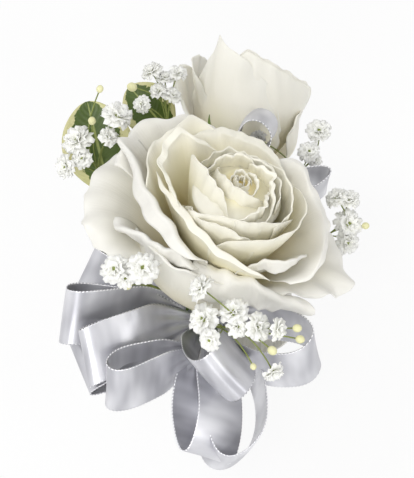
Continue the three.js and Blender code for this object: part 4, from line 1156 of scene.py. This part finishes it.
def leaf_finish():
    """Green and cream parted by the distance from the midrib plus noise, a pale midrib, and slanted veins."""
    made, tree, shader = new_finish("variegated_leaf", Specular_IOR_Level=0.5)
    off = from_middle(tree)
    fringe = noise(tree, "UV", (9, 14, 1), 1.0, 3)
    cloud = noise(tree, "Object", EVEN, 160, 3)
    ragged = maths(tree, "ADD", off, maths(tree, "MULTIPLY", fringe, 0.3))
    green = tint(tree, srgb(50, 72, 10), srgb(86, 106, 30), cloud)
    margin = tint(tree, srgb(222, 214, 168), srgb(190, 192, 128), cloud)
    at_margin = ramp(tree, ragged, [(0.0, BLACK), (0.49, BLACK), (0.51, WHITE)])
    at_midrib = ramp(tree, off, [(0.0, WHITE), (0.012, WHITE), (0.025, BLACK)])
    blade = tint(tree, green, margin, at_margin)
    paint(tree, shader, tint(tree, blade, srgb(150, 160, 90), at_midrib))
    slanted = maths(tree, "SUBTRACT", along(tree, "Y"), maths(tree, "MULTIPLY", off, 0.5))
    veins = maths(tree, "SINE", maths(tree, "MULTIPLY", slanted, VEIN_RATE))
    rough(tree, shader, cloud, 0.32, 0.5)
    bump(tree, shader, veins, 0.25, 0.12)
    return made


variegated = leaf_finish()
print("finish", variegated.name)

# %% [markdown]
# ## Leaves
# Two leaves stand behind the open rose. A blade is a sheet between two margins, arched towards the viewer
# and folded a little along the midrib. Its stalk is a tube from a socket in the wrap, and the blade starts
# where the stalk ends.

# %% Leaves
LEAF_STALK = 0.8
LEAF_THICKNESS = 0.4
LEAF_ARCH = 3
LEAF_FOLD = 2
LEAF_WAVE = 0.5


def blade(base, tip, width):
    """A leaf from its base to its tip: half width is a sine of the length, the middle arches to the
    viewer, the sides fold up, and the margins wave."""
    u, v = grid(48, 21)
    across = unit(np.cross(tip - base, OUT))
    swell = np.sin(np.pi * v**1.05)
    half = lerp(LEAF_STALK, width / 2, swell**0.62)
    fold = LEAF_FOLD * swell * np.abs(u) ** 1.5
    lift = LEAF_ARCH * np.sin(np.pi * v) + fold + LEAF_WAVE * swell * u**4 * np.sin(17 * v)
    return base + v[..., None] * (tip - base) + (u * half)[..., None] * across + lift[..., None] * OUT


leaves = {
    "left": (dict(y=18, angle=165, lift=2, way=(-22, 8, -42), end=(-33, 16, -34)), (-40.5, 46.5, -30), 24),
    "top": (dict(y=18.5, angle=125, lift=2, way=(-10, 24, -50), end=(-13, 37, -51)), (-27, 53, -46), 18),
}
for name, (stalk, tip, width) in leaves.items():
    path = stem_path(count=24, **stalk)
    piece("leaf_blade_" + name, [blade(path[-1], face(*tip), width)], variegated,
          ["leaf_" + name], thickness=LEAF_THICKNESS)
    piece("leaf_stalk_" + name, [tube(path, LEAF_STALK, 8)], twig_green)
print(len(leaves), "leaves")

# %% [markdown]
# ## Stem wrap
# Green crepe tape winds round the cut stems, each turn lapping the last, which leaves a shallow step that
# climbs in a spiral. The wrap is a profile turned round the arm's direction. A strip could be wound for the
# tape, but a step in the radius, which depends on both parameters, gives the same look on a closed shape.

# %% Stem wrap
WRAP_FRONT = -30
WRAP_BACK = 21
WRAP_ROUND = 1.6
TAPE_PITCH = 7.0
TAPE_STEP = 0.25


def tape_finish():
    """Two greens in soft clouds, darkened in fine wrinkles across the tape, which also raise it."""
    made, tree, shader = new_finish("floral_tape", Specular_IOR_Level=0.3)
    crepe = noise(tree, "Object", (260, 2600, 260), 1.0, 2)
    cloud = noise(tree, "Object", EVEN, 180, 3)
    colour = tint(tree, srgb(74, 104, 56), srgb(112, 138, 82), cloud)
    paint(tree, shader, tint(tree, colour, srgb(60, 86, 44), maths(tree, "MULTIPLY", crepe, 0.5)))
    rough(tree, shader, crepe, 0.55, 0.8)
    bump(tree, shader, crepe, 0.5, 0.15)
    return made


def wrap():
    """Radius over turn and length: full along the middle, rounded at the ends, less a step that
    falls once in every pitch of the tape."""
    u, v = grid(150, 49, 0.0)
    y = lerp(WRAP_FRONT, WRAP_BACK, v)
    inset = np.minimum(y - WRAP_FRONT, WRAP_BACK - y)
    rounding = np.sqrt(np.clip(1 - (1 - np.clip(inset / WRAP_ROUND, 0, 1)) ** 2, 0, 1))
    step = TAPE_STEP * ((y / TAPE_PITCH + u) % 1)
    radius = (WRAP_RADIUS - WRAP_ROUND) * (inset > 0) + WRAP_ROUND * rounding - step * (inset > 0.5)
    angle = 2 * np.pi * u
    return np.stack((radius * np.cos(angle), y, WRAP_Z + radius * np.sin(angle)), axis=-1)


floral_tape = tape_finish()
piece("taped_stem_wrap", [wrap()], floral_tape, ["stem_wrap"])
print("wrap of", WRAP_BACK - WRAP_FRONT, "mm")

# %% [markdown]
# ## Bow binding
# Fine wire holds the bow on the wrap, in two layers of close turns. It is one tube along a helix that runs
# out and back again, the second layer one wire thicker than the first.

# %% Bow binding
WIRE_RADIUS = 0.28
BINDING_GAP = 0.3  # between the wrap and the first layer
BINDING_LENGTH = 5
TURNS = 8


def steel_finish(name, dark, light, low, high, grain):
    """Metal with fine grain along one direction, and roughness that follows it."""
    made, tree, shader = new_finish(name, Metallic=1.0)
    lines = noise(tree, "Object", grain, 1.0, 3)
    paint(tree, shader, tint(tree, dark, light, lines))
    rough(tree, shader, lines, low, high)
    bump(tree, shader, lines, 0.15, 0.03)
    return made


def helix(start, end, radius, turns):
    """A helix round the arm's direction at the height of the wrap: it turns as evenly as it moves on."""
    share = np.linspace(0, 1, int(turns * 28))
    angle = 2 * np.pi * turns * share
    y = lerp(start, end, share)
    return np.stack((radius * np.cos(angle), y, WRAP_Z + radius * np.sin(angle)), axis=-1)


wire = steel_finish("binding_wire", srgb(168, 170, 174), srgb(206, 208, 210), 0.25, 0.4, (900, 900, 900))
low, high = (BOW_ROOT[1] + end * (BINDING_LENGTH / 2 - WIRE_RADIUS) for end in (-1, 1))
inner = helix(low, high, WRAP_RADIUS + BINDING_GAP + WIRE_RADIUS, TURNS)
outer = helix(high, low, WRAP_RADIUS + BINDING_GAP + 3 * WIRE_RADIUS, TURNS)
piece("bow_wire", [tube(np.concatenate((inner, outer[1:])), WIRE_RADIUS, 6)], wire,
      ["bow_binding"])
print("binding of", 2 * TURNS, "turns")

# %% [markdown]
# ## Outline of the wristlet
# The band is a rounded oblong, so its outline is made of arcs and the straights between them. A flat
# section, square at its edges but for a little rounding, is carried along it. Satin is gathered in uneven
# ridges across the band and elastic has even ribs, so the section's faces sink between ridges.

# %% Band section
BAND_WIDTH = 25
BAND_THICKNESS = 1.4
BAND_SQUARENESS = 0.35  # a power of sine and cosine: 1 is round and 0 is square
CORNER = 14.7  # radius of the middle of the band at its corners
CORNER_X = 14
LOWER_Z = 15.4
UPPER_Z = 27.4
RIB_PITCH = 1.5


def corner(side, z, start, end):
    """Points round one corner of the band's outline, angles in degrees."""
    angle = np.radians(np.linspace(start, end, 40))
    return np.stack((side * CORNER_X + CORNER * np.cos(angle), z + CORNER * np.sin(angle)), axis=-1)


def strip(outline, spacing):
    """An outline of (x, z) corners with points at an even spacing, and their distances."""
    outline = np.concatenate(outline)
    run = np.concatenate(([0], np.cumsum(np.linalg.norm(np.diff(outline, axis=0), axis=1))))
    even = np.linspace(0, run[-1], int(run[-1] / spacing))
    return np.stack([np.interp(even, run, outline[:, i]) for i in (0, 1)], axis=-1), even


def squared(wave):
    """A sine or cosine made steeper by a power, so that a round section turns square."""
    return np.sign(wave) * np.abs(wave) ** BAND_SQUARENESS


def band(outline, ridge, depth, spacing=0.35):
    """A flat closed section carried along an outline; its faces sink between ridges by a depth."""
    path, run = strip(outline, spacing)
    slope = unit(np.gradient(path, axis=0))
    normal = np.stack((slope[:, 1], -slope[:, 0]), axis=-1)
    angle = np.linspace(0, 2 * np.pi, 41)[None]
    y = BAND_WIDTH / 2 * squared(np.cos(angle))
    sink = depth * ridge(run[:, None], y)
    lift = BAND_THICKNESS / 2 * squared(np.sin(angle)) * (1 - sink / (BAND_THICKNESS / 2))
    x, z = (path[:, i, None] + lift * normal[:, i, None] for i in (0, 1))
    rings = np.stack((x, np.broadcast_to(y, x.shape), z), axis=-1)
    ends = [np.broadcast_to(rings[end].mean(axis=0), (1, *rings.shape[1:])) for end in (0, -1)]
    return np.concatenate((ends[0], rings, ends[1])), run[-1]


def gathers(run, y):
    """Ridges across the band: a sine of the distance along it, bent and made uneven by slower sines."""
    return 0.5 + 0.5 * np.sin(2.6 * run + 1.2 * np.sin(0.35 * y + 0.4 * run) + 0.8 * np.sin(0.9 * run))


def ribs(run, y):
    """Even ribs across the elastic, by a cosine of the distance along it."""
    return 0.5 + 0.5 * np.cos(2 * np.pi * run / RIB_PITCH)


print("the band's straights are", round(2 * CORNER_X), "and", round(UPPER_Z - LOWER_Z), "mm long")

# %% [markdown]
# ## Panels of the wristlet
# A satin panel on top carries the clip, and another lies at the back of the wrist. Both are gathered cloth,
# in a duller satin than the ribbon's. The top panel belongs to the spray, and the back panel slides away
# from it when the wristlet is stretched.

# %% Panels of the wristlet
GATHER_DEPTH = 0.25
# the band's satin carries the same painted reflection: bands between these two colours
band_satin = satin_finish("band_satin", srgb(190, 188, 182), srgb(210, 208, 200), 0.4)
top_outline = [corner(-1, UPPER_Z, 150, 90), corner(1, UPPER_Z, 90, 30)]
back_outline = [corner(-1, LOWER_Z, 210, 270), corner(1, LOWER_Z, -90, -30)]
for name, outline, body in (("top", top_outline, "spray"), ("back", back_outline, "band_back")):
    points, length = band(outline, gathers, GATHER_DEPTH)
    made = piece(f"satin_band_{name}", [points], band_satin, [f"band_{name}_panel"], body,
                 run=length)
    print("panel", name, "of", round(length), "mm")

# %% [markdown]
# ## Elastic straps
# Ribbed elastic joins the two panels on either side. A strap runs from the top panel's corner down to the
# back panel's, rides on no body, and has its place baked into its mesh.

# %% Elastic straps
RIB_DEPTH = 0.3
RIB_SPACING = 0.25
SEAM = math.degrees(0.3 / CORNER)  # the gap of 0.3 mm between a strap and a panel


def elastic_finish():
    """Off-white cloth with a fine weave in colour, roughness and bump."""
    made, tree, shader = new_finish("ribbed_elastic", Sheen_Weight=0.3, Specular_IOR_Level=0.2)
    weave = noise(tree, "UV", (120, 160, 1), 1.0, 2)
    paint(tree, shader, tint(tree, srgb(206, 203, 194), srgb(236, 234, 228), weave))
    rough(tree, shader, weave, 0.6, 0.85)
    bump(tree, shader, weave, 0.5, 0.12)
    return made


elastic = elastic_finish()
for name, side in (("right", 1), ("left", -1)):
    outline = [corner(1, UPPER_Z, 30 - SEAM, 0), corner(1, LOWER_Z, 0, SEAM - 30)]
    points, length = band(outline, ribs, RIB_DEPTH, RIB_SPACING)
    points = points * np.array([side, 1, 1])
    made = piece(f"elastic_strap_{name}", [points], elastic, [f"band_elastic_{name}"], None)
    high, low = points[..., 2].max() * MM, points[..., 2].min() * MM
    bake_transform(made)
    print("strap", name, "of", round(length), "mm")

# %% [markdown]
# ## Clip
# The clip plate, its rivets and its four prongs are stamped from nickel-plated steel. Their shapes are
# right as they are, so they only take a finish: fine brushed grain along the plate.

# %% Clip finish
BRUSHED = (120, 2400, 900)  # grain along the plate
clip_steel = steel_finish("clip_steel", srgb(150, 152, 156), srgb(196, 198, 200), 0.22, 0.42, BRUSHED)
CLIP_NODES = ["clip_plate", "rivet_left", "rivet_right"]
CLIP_NODES += [f"prong_{side}_{end}" for side in ("left", "right") for end in ("front", "back")]
for node in CLIP_NODES:
    frame["nodes"][node].data.materials.clear()
    frame["nodes"][node].data.materials.append(clip_steel)
print(len(CLIP_NODES), "pieces of the clip")

# %% [markdown]
# ## Size
# The dressed model stays in the box of the imported one, apart from what petals and ribbon stand proud. Its
# box is measured over the pieces that render, the floor left out, and every piece now rides on its body.

# %% Size
low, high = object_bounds()
